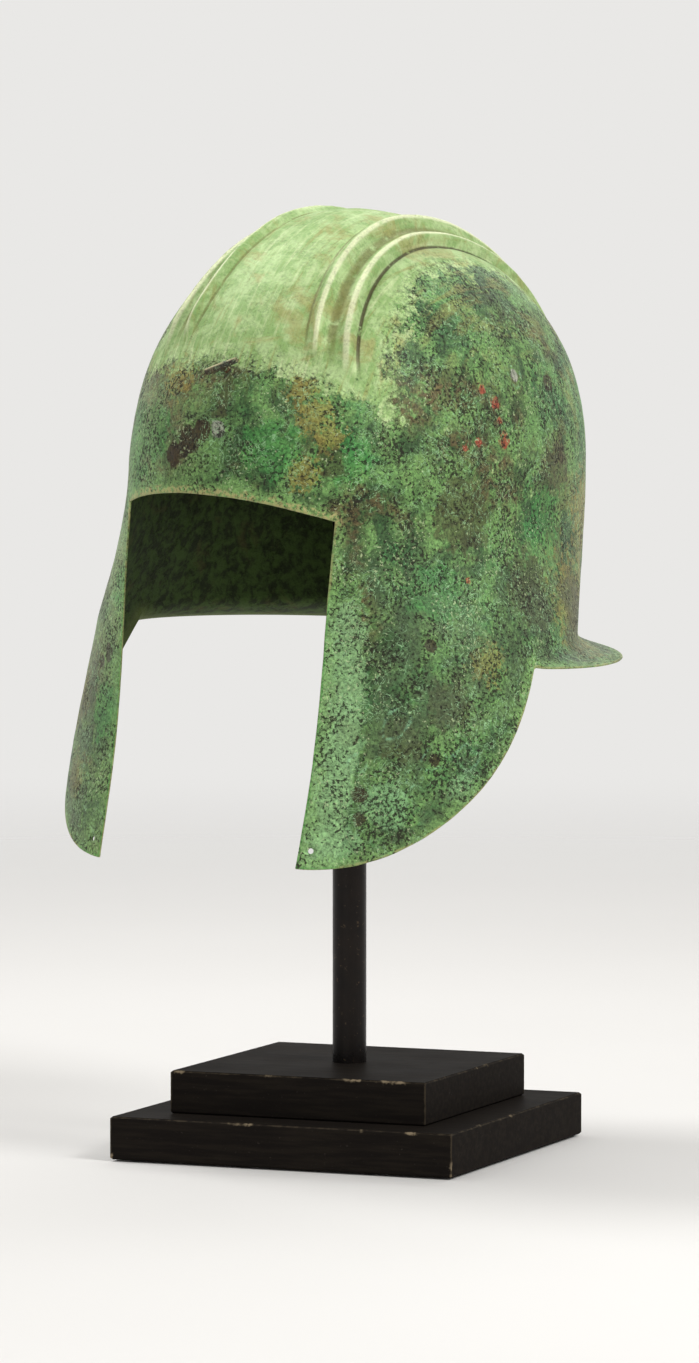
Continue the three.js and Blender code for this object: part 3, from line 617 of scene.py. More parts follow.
# A tube through points, with a pit in its first end where it is hollow.
def addTube(shape, path, radii, sides=20, hollow=0.0):
    path = [Vector(point) for point in path]
    rings = []

    def addRing(centre, direction, radius):
        side = direction.orthogonal().normalized()
        other = direction.cross(side)
        turns = [2 * math.pi * k / sides for k in range(sides)]
        spots = [centre + (side * math.cos(turn) + other * math.sin(turn)) * radius for turn in turns]
        rings.append([shape.verts.new(spot) for spot in spots])

    direction = (path[-1] - path[0]).normalized()
    for depth, share in crestPin["pit"] if hollow else ():
        addRing(path[0] + direction * hollow * depth, direction, radii[0] * share)
    for point, radius in zip(path, radii):
        addRing(point, direction, radius)
    for low, high in zip(rings[:-1], rings[1:]):
        for k in range(sides):
            shape.faces.new([low[k], low[(k + 1) % sides], high[(k + 1) % sides], high[k]])
    shape.faces.new(rings[0][::-1])
    shape.faces.new(rings[-1])


def makeCrestPin(name, turn, radius):
    shift = crestPin["shift"]
    normal = faceNormal(shift, turn)
    foot = facePoint(shift, turn) + normal * (float(bandLift(shift, turn)) + crestPin["gap"])
    head = foot + normal * crestPin["stand"]
    half = np.array(crestPin["barHalf"])
    shares = np.linspace(-1, 1, 9)
    thick, loss = crestPin["barThick"]
    bar = [toWorld(head + half * share) for share in shares]
    barRadii = [radius * (thick - loss * max(share, 0)) * mm for share in shares]
    shares = np.linspace(0, 1, 5)
    thick, loss = crestPin["stemThick"]
    stem = [toWorld(foot + (head - foot) * share) for share in shares]
    stemRadii = [radius * (thick - loss * math.sin(math.pi * share)) * mm for share in shares]
    shape = bmesh.new()
    addTube(shape, bar, barRadii, hollow=crestPin["hollow"] * mm)
    addTube(shape, stem, stemRadii)
    pin = finishShape(shape, name)
    remesh(pin, 0.22 * mm)
    corrode(pin, depth=0.12 * mm, size=1.1 * mm, seed=turn)
    return pin


def applyModifiers(piece):
    depsgraph = bpy.context.evaluated_depsgraph_get()
    depsgraph.update()
    finished = bpy.data.meshes.new_from_object(piece.evaluated_get(depsgraph))
    piece.modifiers.clear()
    piece.data = finished
    for face in finished.polygons:
        face.use_smooth = True


def remesh(piece, voxel):
    modifier = piece.modifiers.new("remesh", "REMESH")
    modifier.mode = "VOXEL"
    modifier.voxel_size = voxel
    smooth = piece.modifiers.new("smooth", "SMOOTH")
    smooth.iterations = 3
    applyModifiers(piece)


def corrode(piece, depth, size, seed):
    shift = Vector((seed, 3 * seed, 7 * seed))
    for vertex in piece.data.vertices:
        amount = noise.fractal(vertex.co / size + shift, 0.6, 2.0, 3)
        vertex.co -= vertex.normal * depth * (0.5 + 0.5 * amount)


# Felt pads and sheet

felt = {
    "width": 146 * mm,
    "thickness": 0.8 * mm,
    "top": 0.92,  # its highest place and its body, as shares of the thickness
    "body": 0.8,
    "fuzz": 0.04,
    "fuzzSize": 9 * mm,
    "cell": 4 * mm,
    "fibres": ("1d1d1b", "3c3b37"),
    "tufts": "2a2622",
}


# A pad copies its solid, with softened edges and a rough face.
def makePad(node):
    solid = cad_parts[node].data
    corners = [vertex.co[:] for vertex in solid.vertices]
    mesh = bpy.data.meshes.new("felt_" + node)
    mesh.from_pydata(corners, [], [face.vertices[:] for face in solid.polygons])
    pad = finishMesh(mesh, "felt_" + node)
    remesh(pad, 0.45 * mm)
    corrode(pad, depth=0.25 * mm, size=0.9 * mm, seed=len(node))
    return pad


def makeFeltSheet():
    shape = bmesh.new()
    cells = int(felt["width"] / felt["cell"])
    bmesh.ops.create_grid(shape, x_segments=cells, y_segments=cells, size=felt["width"] / 2)
    for vertex in shape.verts:
        sunk = felt["fuzz"] * (1 + noise.noise(vertex.co / felt["fuzzSize"]))
        vertex.co.z = (felt["top"] - sunk) * felt["thickness"]
    bmesh.ops.solidify(shape, geom=shape.faces[:], thickness=-felt["body"] * felt["thickness"])
    bmesh.ops.rotate(shape, verts=shape.verts, matrix=Matrix.Rotation(stand["turn"], 3, "Z"))
    return finishShape(shape, "felt_sheet")


# Node helpers. A colour may be written as a hex code.

def shade(code):
    def toLinear(value):
        return value / 12.92 if value <= 0.04045 else ((value + 0.055) / 1.055) ** 2.4

    return tuple(toLinear(int(code[k : k + 2], 16) / 255) for k in (0, 2, 4)) + (1,)


# Nodes of one tree, with the place at which its noises are read and its colour so far
class Nodes:
    def __init__(self, tree):
        self.tree, self.place, self.color = tree, None, None

    def add(self, kind, inputs=None, **settings):
        node = self.tree.nodes.new(kind)
        for key, value in settings.items():
            setattr(node, key, value)
        for key, value in (inputs or {}).items():
            self.put(value, node.inputs[key])
        return node

    def put(self, value, socket):
        if isinstance(value, bpy.types.NodeSocket):
            self.tree.links.new(value, socket)
        else:
            socket.default_value = shade(value) if isinstance(value, str) else value

    def math(self, operation, first, *others):
        for other in others:
            first = self.add("ShaderNodeMath", {0: first, 1: other}, operation=operation).outputs[0]
        return first

    def plus(self, *values):
        return self.math("ADD", *values)

    def minus(self, first, second):
        return self.math("SUBTRACT", first, second)

    def times(self, *values):
        return self.math("MULTIPLY", *values)

    def most(self, *values):
        return self.math("MAXIMUM", *values)

    def least(self, *values):
        return self.math("MINIMUM", *values)

    # A noise set round zero, times a strength
    def around(self, noise, strength):
        return self.times(self.minus(noise, 0.5), strength)

    def vector(self, operation, first, second):
        return self.add("ShaderNodeVectorMath", {0: first, 1: second}, operation=operation).outputs[0]

    def axes(self, vector):
        return self.add("ShaderNodeSeparateXYZ", {0: vector}).outputs

    def noise(self, scale, detail=3, roughness=0.6, distortion=0, vector=None):
        inputs = {"Vector": vector or self.place, "Scale": scale, "Detail": detail,
                  "Roughness": roughness, "Distortion": distortion}
        return self.add("ShaderNodeTexNoise", inputs).outputs["Fac"]

    def step(self, value, low, high, start=0, end=1, curve="SMOOTHSTEP"):
        inputs = {"Value": value, "From Min": low, "From Max": high, "To Min": start, "To Max": end}
        return self.add("ShaderNodeMapRange", inputs, interpolation_type=curve).outputs["Result"]

    # 1 within a width of a value, and 0 further off
    def line(self, value, middle, width):
        away = self.math("ABSOLUTE", self.minus(value, middle), 0)
        return self.step(away, width, width * 0.35)

    def mix(self, factor, first, second, blend="MIX"):
        inputs = {0: factor, 6: first, 7: second}
        return self.add("ShaderNodeMix", inputs, data_type="RGBA", blend_type=blend).outputs[2]

    # Lays a tint over the colour so far, as far as the product of the masks
    def over(self, tint, *masks):
        self.color = self.mix(self.times(*masks), self.color, tint)

    def read(self, name, output="Fac"):
        return self.add("ShaderNodeAttribute", attribute_name=name).outputs[output]

    def group(self, tree, vector=None, **inputs):
        inputs = {"Vector": vector or self.place, **inputs}
        return self.add("ShaderNodeGroup", inputs, node_tree=tree).outputs

    # Feeds the shader its colour, a bump of some strength and depth, and a roughness where it varies
    def finish(self, height, strength, depth, roughness=None):
        inputs = {"Strength": strength, "Distance": depth, "Height": height}
        self.put(self.color, self.sockets["Base Color"])
        self.put(self.add("ShaderNodeBump", inputs).outputs["Normal"], self.sockets["Normal"])
        if roughness is not None:
            self.put(roughness, self.sockets["Roughness"])
        return self.material


# The inputs are names with their values, and the kind of value tells the kind of socket.
def newGroup(name, outputs, **inputs):
    tree = bpy.data.node_groups.new(name, "ShaderNodeTree")
    for label, value in {"Vector": (0, 0, 0), **inputs}.items():
        kind = {str: "Color", tuple: "Vector"}.get(type(value), "Float")
        socket = tree.interface.new_socket(label, in_out="INPUT", socket_type="NodeSocket" + kind)
        socket.default_value = shade(value) if kind == "Color" else value
    for label in outputs:
        kind = "Color" if label == "Color" else "Float"
        tree.interface.new_socket(label, in_out="OUTPUT", socket_type="NodeSocket" + kind)
    nodes = Nodes(tree)
    entry = nodes.add("NodeGroupInput").outputs
    nodes.place = entry["Vector"]
    return nodes, entry, nodes.add("NodeGroupOutput").inputs


def newMaterial(name, values):
    material = bpy.data.materials.new(name)
    material.use_nodes = True
    material.node_tree.nodes.clear()
    nodes = Nodes(material.node_tree)
    shader = nodes.add("ShaderNodeBsdfPrincipled", values)
    nodes.add("ShaderNodeOutputMaterial", {"Surface": shader.outputs["BSDF"]})
    nodes.material, nodes.sockets = material, shader.inputs
    nodes.place = nodes.add("ShaderNodeTexCoord").outputs["Object"]
    return nodes


# Shader groups that several finishes share

def makeSpeckleGroup():
    nodes, entry, leave = newGroup("grainSpeckle", ["Mask"], Scale=900, Threshold=0.55, Softness=0.05)
    high = nodes.plus(entry["Threshold"], entry["Softness"])
    grain = nodes.noise(entry["Scale"], 4, 0.62)
    nodes.put(nodes.step(grain, entry["Threshold"], high), leave["Mask"])
    return nodes.tree


def makeWearGroup():
    nodes, entry, leave = newGroup("edgeWear", ["Mask"], Distance=0, Width=1, Breaks=500)
    near = nodes.math("DIVIDE", entry["Distance"], entry["Width"])
    reach = nodes.minus(nodes.times(nodes.noise(entry["Breaks"], 4, 0.7), 2), near)
    nodes.put(nodes.step(reach, 0.25, 0.75), leave["Mask"])
    return nodes.tree


# Long brush marks along a direction of the surface.
def makeBrushGroup():
    nodes, entry, leave = newGroup("brushMarks", ["Mask"], Scale=300, Stretch=(1, 0.12, 1))
    stretched = nodes.vector("MULTIPLY", entry["Vector"], entry["Stretch"])
    nodes.put(nodes.noise(entry["Scale"], 5, 0.65, 0.3, stretched), leave["Mask"])
    return nodes.tree


speckleGroup, wearGroup, brushGroup = makeSpeckleGroup(), makeWearGroup(), makeBrushGroup()


def speckles(nodes, scale, threshold, softness=0.05, vector=None):
    return nodes.group(speckleGroup, vector, Scale=scale, Threshold=threshold, Softness=softness)["Mask"]


def wornEdge(nodes, distance, width, breaks):
    return nodes.group(wearGroup, Distance=distance, Width=width, Breaks=breaks)["Mask"]


def brushMarks(nodes, vector, scale, stretch=(1, 0.12, 1)):
    return nodes.group(brushGroup, vector, Scale=scale, Stretch=stretch)["Mask"]


# Mottled green corrosion: two greens in patches, with colder and brown ones among them.
def makePatinaGroup():
    greens = {"Deep": "33502a", "Fresh": "6b9352", "Cold": "48884c", "Stain": "594e30"}
    nodes, entry, leave = newGroup("mottledPatina", ["Color", "Height"], **greens)
    patches = nodes.noise(58, 6, 0.7, 0.8)
    broad = nodes.noise(19, 4, 0.6, 0.6)
    fine = nodes.noise(230, 5, 0.7, 0.6)
    nodes.color = nodes.mix(nodes.step(patches, 0.4, 0.6), entry["Deep"], entry["Fresh"])
    nodes.over(entry["Cold"], nodes.step(broad, 0.52, 0.36), nodes.step(fine, 0.42, 0.62), 0.6)
    nodes.over(entry["Stain"], nodes.step(broad, 0.5, 0.64), nodes.step(fine, 0.38, 0.58))
    nodes.put(nodes.color, leave["Color"])
    nodes.put(fine, leave["Height"])
    return nodes.tree


# Coarse grains over a colour: it varies in brightness, with dark and pale grains and thin pale veins.
def makeGrainGroup():
    colors = {"Color": "808080", "Dark": "1c170e", "Pale": "cfe0ab", "Vein": "9cc794"}
    nodes, entry, leave = newGroup("coarseGrain", ["Color", "Height", "Grain"], **colors, Amount=1)
    amount, nodes.color = entry["Amount"], entry["Color"]
    sand = nodes.noise(740, 4, 0.72, 0.4)
    brightness = nodes.step(sand, 0.36, 0.64, 0.42, 1.5, "LINEAR")
    gray = nodes.add("ShaderNodeCombineColor", {k: brightness for k in range(3)}).outputs[0]
    nodes.over(nodes.mix(1, nodes.color, gray, "MULTIPLY"), amount)
    veins = nodes.line(nodes.noise(150, 3, 0.6, 1.6), 0.5, 0.016)
    nodes.over(entry["Vein"], veins, nodes.step(nodes.noise(45, 3), 0.42, 0.56), amount, 0.7)
    dark = speckles(nodes, 760, nodes.step(nodes.noise(62, 4, 0.65), 0.36, 0.62, 0.62, 0.5))
    darkAmount = nodes.times(dark, amount)
    nodes.over(entry["Dark"], darkAmount, 0.88)
    shifted = nodes.vector("ADD", entry["Vector"], (0.31, 0.17, 0.23))
    density = nodes.step(nodes.noise(50, 4, 0.6, vector=shifted), 0.36, 0.62, 0.7, 0.585)
    pale = speckles(nodes, 820, density, vector=shifted)
    nodes.over(entry["Pale"], pale, amount, 0.55)
    height = nodes.plus(nodes.times(sand, 0.9), nodes.times(pale, 0.3))
    nodes.put(nodes.color, leave["Color"])
    nodes.put(nodes.minus(height, nodes.times(dark, 0.4)), leave["Height"])
    nodes.put(darkAmount, leave["Grain"])
    return nodes.tree


patinaGroup, grainGroup = makePatinaGroup(), makeGrainGroup()


bronze = {
    # Colour, the scale and strength of the noise that breaks it up, and its own strength
    "marks": {
        "emerald": ("3a8a3e", 160, 2.2, 0.45),
        "ochre": ("97853f", 360, 3.4, 0.55),
        # The brown marks include a painted shadow under the front pin, over a dark stain.
        "brown": ("453a22", 210, 2.2, 0.6),
        "silver": ("9c9a90", 220, 2, 0.75),
        "crust": ("86b57c", 150, 1.6, 0.6),
        "gouge": ("33200f", 240, 1.6, 0.9),
    },
    "sage": ("88a865", "a9c286"),
    "brushed": ("ccd6a4", "8d8a4c"),
    "smudge": "9a9257",
    # Cream ridge tops, partly wear and partly painted highlight; olive valleys and dark crevices, partly
    # patina in the hollows and partly painted shade. Distance from a ridge, width, colour and strength
    "crestLinesAndPaintedLight": [("toInner", 5.2, 2.6, "6c6a34", 0.7), ("toOuter", -0.4, 1.5, "dfe2ba", 0.75),
                   ("toInner", -0.6, 1.3, "dfe2ba", 0.75), ("toInner", -4.4, 0.7, "6c6a34", 0.6),
                   ("toOuter", 4.2, 1, "3a3013", 0.9)],
    "rightSideAndSheen": "93a06a",
    "strokes": ("8d7d42", "9fb277"),
    "cheek": "4c5b3e",
    "strip": "8bb27a",
    "rings": "8fc79b",
    "edge": "7fa860",
    "spots": ("96422f", "97747a"),  # on the left side and on the right
    "brow": "c3b47c",
    "rim": ("a9a56c", "58a24b"),  # all round and along the cheek pieces' front
    "lining": ("222c14", "3f5426"),
    "liningStain": "4e4a28",
    "liningEdge": "62703c",
    # Where layers of colour begin and end, in metres up from the floor or back from the post
    "paleHeights": (0.17, 0.25),
    "strokeHeights": (0.3, 0.37),
    "strokeDepths": (0, 0.09),
    "cheekHeights": (0.27, 0.22),
    "browHeights": ((0.262, 0.27), (0.292, 0.284)),
}


# What the layers of colour share
def bronzePlaces(nodes):
    x, y, z = nodes.axes(nodes.place)
    return {
        "x": x,
        "y": y,
        "z": z,
        "rightward": nodes.step(x, 0.01, -0.06),
        "cloud": nodes.noise(60, 4, 0.6, 0.5),
        "ragged": nodes.noise(210, 5, 0.75, 0.4),
        "brushed": nodes.read("brushed", "Vector"),
        "cheekFront": nodes.read("cheekFront"),
        "distance": nodes.read("edgeDistance"),
    }


# The wearer's right is paler and yellower, partly patina and partly a painted sheen of light on that side,
# with ochre and olive strokes toward the back and the top.
def paintSides(nodes, at):
    pale = nodes.step(at["cloud"], 0.35, 0.6, 0.15, 0.6)
    high = nodes.step(at["z"], *bronze["paleHeights"], 0.3, 1)
    # Paler patches high on the wearer's right: partly patina, partly painted sheen of light
    nodes.over(bronze["rightSideAndSheen"], at["rightward"], pale, high)
    ochre, olive = bronze["strokes"]
    strokes = brushMarks(nodes, at["brushed"], 260)
    backward = nodes.step(at["y"], *bronze["strokeDepths"])
    upward = nodes.step(at["z"], *bronze["strokeHeights"])
    behind = nodes.most(backward, nodes.times(upward, 0.7))
    nodes.over(ochre, nodes.step(strokes, 0.48, 0.62, 0, 0.7), behind)
    nodes.over(olive, nodes.step(strokes, 0.46, 0.3, 0, 0.6), backward)


def paintMarks(nodes):
    for name, (tint, scale, broken, amount) in bronze["marks"].items():
        mark = nodes.read(name)
        ragged = nodes.plus(mark, nodes.around(nodes.noise(scale, 5, 0.7), broken))
        nodes.over(tint, nodes.step(ragged, 0.4, 0.62, 0, amount), nodes.step(mark, 0, 0.1))


# The cheek pieces are greyer in the middle, with paler crust down their front and in crooked rings.
def paintCheeks(nodes, at):
    front, ragged = at["cheekFront"], at["ragged"]
    low = nodes.times(nodes.step(at["z"], *bronze["cheekHeights"]), nodes.step(front, 0.4, 0))
    nodes.over(bronze["cheek"], low, nodes.step(at["cloud"], 0.62, 0.42, 0.1, 0.6))
    strip = nodes.step(nodes.plus(front, nodes.around(ragged, 1.3)), 0.35, 0.6, 0, 0.75)
    onLeft = nodes.step(at["x"], -0.02, 0.02, 0.1, 1)
    nodes.over(bronze["strip"], strip, nodes.step(front, 0, 0.15), onLeft)
    rings = nodes.step(nodes.read("ring"), 0.3, 0.9)
    nodes.over(bronze["rings"], rings, nodes.step(ragged, 0.44, 0.54), 0.45)


# The pale brushed crest
def paintCrest(nodes, longMarks):
    nodes.color = nodes.mix(nodes.step(nodes.noise(130, 5, 0.65, 0.5), 0.38, 0.62), *bronze["sage"])
    light, dark = bronze["brushed"]
    nodes.over(light, nodes.step(longMarks, 0.5, 0.7, 0, 0.55))
    nodes.over(dark, nodes.step(longMarks, 0.46, 0.3, 0, 0.7))
    nodes.over(bronze["smudge"], nodes.step(nodes.noise(48, 5, 0.7, 1), 0.52, 0.66, 0, 0.6))
    # Ridge tops get a painted highlight over their wear, and valleys and crevices painted shade over their
    # patina.
    ridged = nodes.times(nodes.read("ridged"), nodes.step(nodes.noise(120, 4, 0.65), 0.3, 0.46))
    for distance, middle, width, tint, amount in bronze["crestLinesAndPaintedLight"]:
        nodes.over(tint, nodes.line(nodes.read(distance), middle, width), ridged, amount)


# Worn edges: a speckled brow and a thin bright rim
def paintRim(nodes, at):
    distance = at["distance"]
    atBrow = nodes.times(*(nodes.step(at["z"], *heights) for heights in bronze["browHeights"]))
    speckled = nodes.step(nodes.noise(520, 4, 0.7), 0.47, 0.56)
    nodes.over(bronze["brow"], wornEdge(nodes, distance, 5, 150), atBrow, speckled, 0.7)
    tint = nodes.mix(nodes.step(at["cheekFront"], 0.3, 0.6), *bronze["rim"])
    rim = wornEdge(nodes, distance, 1.3, 420)
    nodes.over(tint, rim, nodes.step(at["ragged"], 0.38, 0.54), 0.55)


# The inside is dark olive green.
def paintLining(nodes, at):
    nodes.color = nodes.mix(nodes.step(at["ragged"], 0.4, 0.6), *bronze["lining"])
    nodes.over(bronze["liningStain"], nodes.step(at["cloud"], 0.55, 0.7, 0, 0.5))
    nodes.over(bronze["liningEdge"], nodes.step(at["distance"], 12, 2), 0.7)


def bronzeMaterial():
    values = {"Metallic": 0.12, "Specular IOR Level": 0.26, "Coat Roughness": 0.3}
    nodes = newMaterial("green_bronze", values)
    at = bronzePlaces(nodes)
    patina = nodes.group(patinaGroup)
    nodes.color = patina["Color"]
    paintSides(nodes, at)
    paintMarks(nodes)
    paintCheeks(nodes, at)

    # The pale crest breaks up into grains at its border
    below, crestMask = nodes.color, nodes.read("crestMask")
    longMarks = brushMarks(nodes, at["brushed"], 420, (1, 0.07, 1))
    border = nodes.plus(crestMask, nodes.around(at["cloud"], 1), nodes.around(at["ragged"], 1.5))
    onCrest = nodes.times(nodes.step(border, 0.42, 0.6), nodes.step(crestMask, 0.03, 0.3))
    paintCrest(nodes, longMarks)
    nodes.color = nodes.mix(onCrest, below, nodes.color)

    # A lighter band along every edge, red spots on the left side and pink ones on the right
    nodes.over(bronze["edge"], wornEdge(nodes, at["distance"], 9, 190), 0.5)
    spots = nodes.times(nodes.read("rust"), nodes.noise(330, 5, 0.75))
    spotColor = nodes.mix(at["rightward"], *bronze["spots"])
    nodes.over(spotColor, nodes.step(spots, 0.34, 0.44, 0, 0.9))

    calm = nodes.minus(1, nodes.times(onCrest, nodes.step(crestMask, 0.5, 0.9, 0.3, 0.82)))
    grain = nodes.group(grainGroup, Color=nodes.color, Amount=calm)
    nodes.color = grain["Color"]
    paintRim(nodes, at)
    outside, within = nodes.color, nodes.read("within")
    paintLining(nodes, at)
    nodes.color = nodes.mix(within, outside, nodes.color)

    rough = nodes.plus(0.38, nodes.times(grain["Grain"], 0.25), nodes.times(onCrest, 0.14),
                       nodes.times(within, 0.4), nodes.times(at["ragged"], 0.08))
    coat = nodes.times(nodes.step(within, 1, 0, 0, 0.06), nodes.step(onCrest, 1, 0, 0.3, 1))
    nodes.put(coat, nodes.sockets["Coat Weight"])
    height = nodes.times(nodes.plus(patina["Height"], grain["Height"]), calm)
    height = nodes.plus(height, nodes.times(longMarks, 0.25))
    return nodes.finish(height, 0.8, 0.45 * mm, rough)


def pinMaterial():
    nodes = newMaterial("brown_bronze", {"Metallic": 0.15, "Roughness": 0.55})
    patina = nodes.group(patinaGroup, **crestPin["patina"])
    grain = nodes.group(grainGroup, Color=patina["Color"], Amount=0.7)
    nodes.color = grain["Color"]
    # The pin's upward-facing side is painted pale: a painted highlight, broken up by noise.
    upward = nodes.axes(nodes.add("ShaderNodeTexCoord").outputs["Normal"])["Z"]
    paintedTopHighlight = nodes.step(upward, 0.15, 0.65, 0, 0.75)
    nodes.over(crestPin["paintedTopHighlight"], paintedTopHighlight, nodes.step(nodes.noise(600), 0.36, 0.5))
    return nodes.finish(grain["Height"], 0.9, 0.3 * mm)


stand = {
    "turn": math.radians(13.1),
    "plates": {"base_lower_plate": 152.4 * mm, "base_upper_plate": 114.3 * mm},
    "lacquer": ("1b1816", "231f1b"),
    "wornAndEdgeHighlight": "857761",
    "dust": "6a6259",
    "paint": ("0e0b0a", "1a1410"),
    "paintSpots": "5a4a38",
    "steel": ("a3a39f", "c9c9c4"),
    "steelStains": "77746c",
}


# Black-brown satin lacquer on a square plate of this width, with sparse pale chips and a faint pale line
# along every edge that is partly wear and partly a painted edge highlight
def lacquerMaterial(node, width):
    nodes = newMaterial(node + "_lacquer", {"Specular IOR Level": 0.008})
    turned = nodes.add("ShaderNodeVectorRotate", {"Vector": nodes.place, "Angle": -stand["turn"]},
                       rotation_type="Z_AXIS").outputs[0]
    x, y, z = nodes.axes(turned)
    toX, toY = (nodes.minus(width / 2, nodes.math("ABSOLUTE", axis, 0)) for axis in (x, y))
    toTop = nodes.minus(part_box(node)[1].z, z)
    # An edge is where two of the three distances to the faces are small.
    distance = nodes.least(nodes.most(toX, toY), nodes.most(nodes.least(toX, toY), toTop))
    inMillimetres = nodes.math("DIVIDE", distance, mm)
    # A faint pale line along every edge, partly wear and partly a painted edge highlight
    wornAndEdgeHighlight = nodes.times(wornEdge(nodes, inMillimetres, 0.9, 210), 0.16)
    chips = wornEdge(nodes, inMillimetres, 1.7, 420)
    edge = nodes.most(wornAndEdgeHighlight, nodes.times(chips, nodes.step(nodes.noise(60, 3, 0.6), 0.56, 0.62)))
    fibres = nodes.noise(420, 5, 0.6, vector=nodes.vector("MULTIPLY", turned, (0.08, 1, 1)))
    nodes.color = nodes.mix(nodes.step(fibres, 0.4, 0.65), *stand["lacquer"])
    nodes.over(stand["wornAndEdgeHighlight"], edge)
    nodes.over(stand["dust"], nodes.step(nodes.noise(900, 3, 0.7), 0.66, 0.74, 0, 0.25))
    rough = nodes.plus(0.44, nodes.times(nodes.noise(35, 4, 0.6), 0.16), nodes.times(edge, 0.3))
    return nodes.finish(nodes.minus(nodes.times(fibres, 0.25), edge), 0.35, 0.15 * mm, rough)


def paintMaterial():
    nodes = newMaterial("dark_paint", {"Metallic": 0.1, "Specular IOR Level": 0.15})
    cloud = nodes.noise(40, 4, 0.6)
    nodes.color = nodes.mix(nodes.step(cloud, 0.35, 0.65), *stand["paint"])
    nodes.over(stand["paintSpots"], speckles(nodes, 500, 0.63), 0.4)
    rough = nodes.step(cloud, 0.3, 0.7, 0.24, 0.4)
    return nodes.finish(nodes.noise(700, 3, 0.6), 0.15, 0.1 * mm, rough)


def steelMaterial():
    nodes = newMaterial("zinc_steel", {"Metallic": 1})
    lines = brushMarks(nodes, nodes.place, 900, (1, 1, 0.1))
    nodes.color = nodes.mix(nodes.step(lines, 0.35, 0.65), *stand["steel"])
    nodes.over(stand["steelStains"], speckles(nodes, 300, 0.6, 0.1), 0.5)
    return nodes.finish(lines, 0.2, 0.1 * mm, nodes.step(lines, 0.3, 0.7, 0.28, 0.42))


def feltMaterial():
    nodes = newMaterial("dark_felt", {"Roughness": 0.95, "Sheen Weight": 0.35, "Sheen Roughness": 0.5})
    fibres, tufts = nodes.noise(1400, 5, 0.75, 1.2), nodes.noise(260, 4, 0.65)
    nodes.color = nodes.mix(nodes.step(fibres, 0.35, 0.68), *felt["fibres"])
    nodes.over(felt["tufts"], nodes.step(tufts, 0.5, 0.7, 0, 0.5))
    return nodes.finish(nodes.plus(fibres, nodes.times(tufts, 0.8)), 0.8, 0.3 * mm)


def dress(piece, material):
    piece.data.materials.clear()
    piece.data.materials.append(material)
    return piece


# A carried-over solid keeps its mesh, with softened corners and smooth round faces.
def dressNode(name, material, bevel):
    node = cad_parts[name]
    dress(node, material)
    for face in node.data.polygons:
        face.use_smooth = True
    corners = node.modifiers.new("corners", "BEVEL")
    corners.width = bevel
    corners.segments = 2
    corners.limit_method = "ANGLE"
    corners.angle_limit = math.radians(32)
    corners.harden_normals = True


def addHelmet():
    helmet = dress(makeHelmet(), bronzeMaterial())
    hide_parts("helmet_shell")
    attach(helmet, "helmet")
    brown = pinMaterial()
    for end in ("front", "rear"):
        name, turn, radius = "corroded_pin_" + end, crestPin[end + "Angle"], crestPin[end + "Radius"]
        pin = dress(makeCrestPin(name, turn, radius), brown)
        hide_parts("crest_pin_" + end)
        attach(pin, "helmet")
    print("helmet and pins done")


def addCradle(paint, steel, felted):
    for name in ("cradle_cap", "cradle_bar_long", "cradle_bar_cross"):
        dressNode(name, paint, 0.3 * mm)
    for name in ("cradle_set_screw", "cradle_screw"):
        dressNode(name, steel, 0.2 * mm)
    for place in ("left", "right", "back", "front"):
        node = "cradle_pad_" + place
        pad = dress(makePad(node), felted)
        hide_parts(node)
        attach(pad, "cradle")
    print("cradle done")


def addStand(paint, steel, felted):
    for name, width in stand["plates"].items():
        dressNode(name, lacquerMaterial(name, width), 0.35 * mm)
    dressNode("stand_post", paint, 0.3 * mm)
    for name in ("post_washer", "post_screw", *(f"plate_screw_{k}" for k in range(1, 5))):
        dressNode(name, steel, 0.25 * mm)
    sheet = dress(makeFeltSheet(), felted)
    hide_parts("base_felt")
    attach(sheet, "base")
    print("stand done")


# Studio: floor, lights, world and camera

studio = {
    "floorRadius": 2.4,
    "floorFade": (0.5, 2.28),
    "floor": ("e4e2df", "dddbd8"),
    "backdrop": "e9e8e6",
    "ambient": 0.5,
    "lamps": {  # azimuth, elevation, distance, size and power
        "keyLamp": (-86, 60, 1.7, 0.6, 15.5),
        "sideLamp": (85, 37, 1.7, 0.45, 17),
        "fillLamp": (10, 20, 2.4, 1.6, 7),
        "rearLamp": (190, 50, 2.0, 1.2, 9),
    },
}
view = {
    "azimuth": 35.5,
    "elevation": 3.2,
    "distance": 2.587,
    "target": Vector((0.0, 0.0, 0.1975)),
    "pixelFocal": 6150.0,
    "photoHeight": 1363,  # in pixels, like the focal length
}


def directionOf(azimuth, elevation):
    azimuth, elevation = math.radians(azimuth), math.radians(elevation)
    flat = math.cos(elevation)
    return Vector((math.sin(azimuth) * flat, -math.cos(azimuth) * flat, math.sin(elevation)))


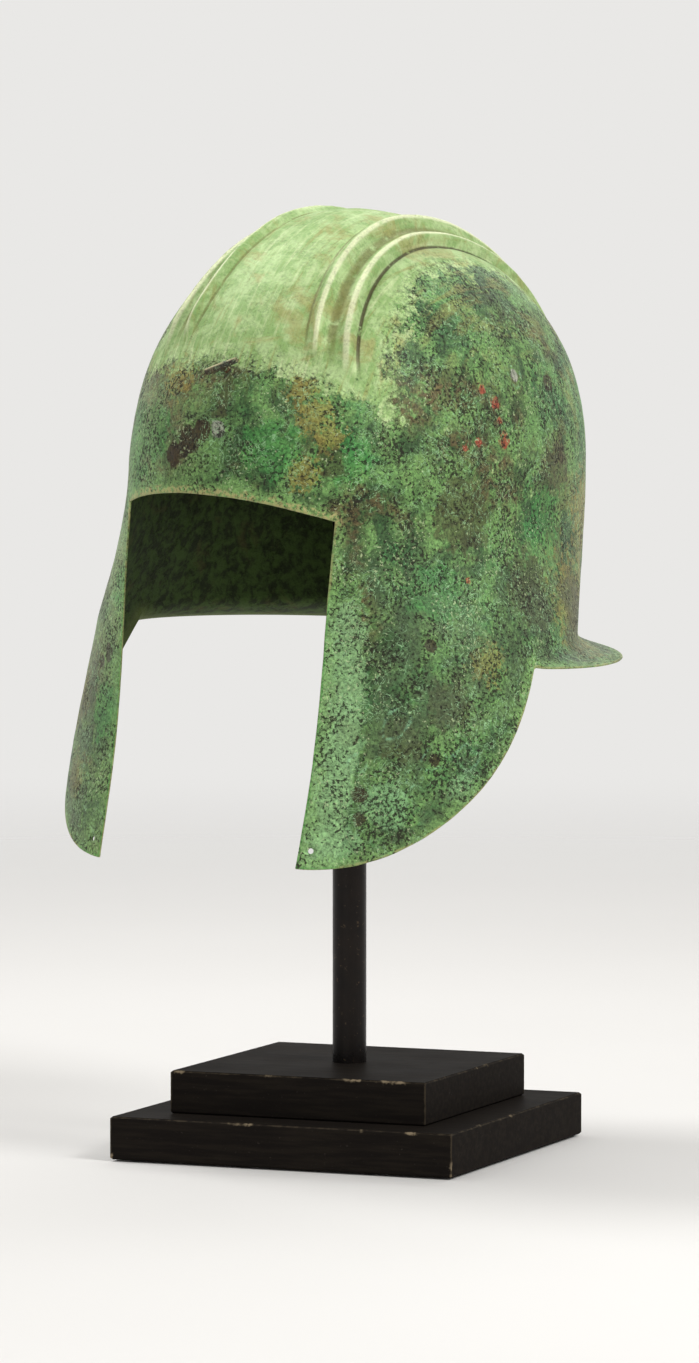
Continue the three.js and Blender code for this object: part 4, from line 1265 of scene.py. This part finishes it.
# Makes a lamp or camera that looks at the view's target.
def addAimed(name, data, azimuth, elevation, distance):
    item = addObject(name, data)
    item.location = directionOf(azimuth, elevation) * distance + view["target"]
    item.rotation_euler = (view["target"] - item.location).to_track_quat("-Z", "Y").to_euler()
    return item


def addFloor():
    shape = bmesh.new()
    bmesh.ops.create_circle(shape, cap_ends=True, segments=96, radius=studio["floorRadius"])
    floor = finishShape(shape, "studio_floor", smooth=False)
    nodes = newMaterial("pale_floor", {"Roughness": 0.7, "Specular IOR Level": 0.3})
    nodes.put(nodes.mix(nodes.noise(3.0, 2.0, 0.5), *studio["floor"]), nodes.sockets["Base Color"])
    away = nodes.add("ShaderNodeVectorMath", {0: nodes.place}, operation="LENGTH").outputs["Value"]
    nodes.put(nodes.step(away, *studio["floorFade"], 1.0, 0.0), nodes.sockets["Alpha"])
    dress(floor, nodes.material)


def addLamps():
    for name, (azimuth, elevation, distance, size, power) in studio["lamps"].items():
        data = bpy.data.lights.new(name, "AREA")
        data.shape = "SQUARE"
        data.size = size
        data.energy = power
        addAimed(name, data, azimuth, elevation, distance)


def addWorld():
    world = bpy.data.worlds.new("studio")
    bpy.context.scene.world = world
    world.use_nodes = True
    world.node_tree.nodes.clear()
    nodes = Nodes(world.node_tree)
    ray = nodes.add("ShaderNodeLightPath").outputs
    seen = nodes.most(ray["Is Camera Ray"], ray["Is Transmission Ray"], ray["Is Glossy Ray"])
    strength = nodes.step(seen, 0.0, 1.0, studio["ambient"], 1.0)
    background = nodes.add("ShaderNodeBackground", {"Color": studio["backdrop"], "Strength": strength})
    nodes.add("ShaderNodeOutputWorld", {"Surface": background.outputs[0]})


def addCamera():
    data = bpy.data.cameras.new("camera")
    data.lens = view["pixelFocal"] * data.sensor_width / view["photoHeight"]
    data.clip_end = 20
    camera = addAimed("camera", data, view["azimuth"], view["elevation"], view["distance"])
    bpy.context.scene.camera = camera


addCamera()
addLamps()
addWorld()
addFloor()
addHelmet()
darkPaint, zincSteel, darkFelt = paintMaterial(), steelMaterial(), feltMaterial()
addCradle(darkPaint, zincSteel, darkFelt)
addStand(darkPaint, zincSteel, darkFelt)
bpy.context.scene.view_settings.view_transform = "Standard"
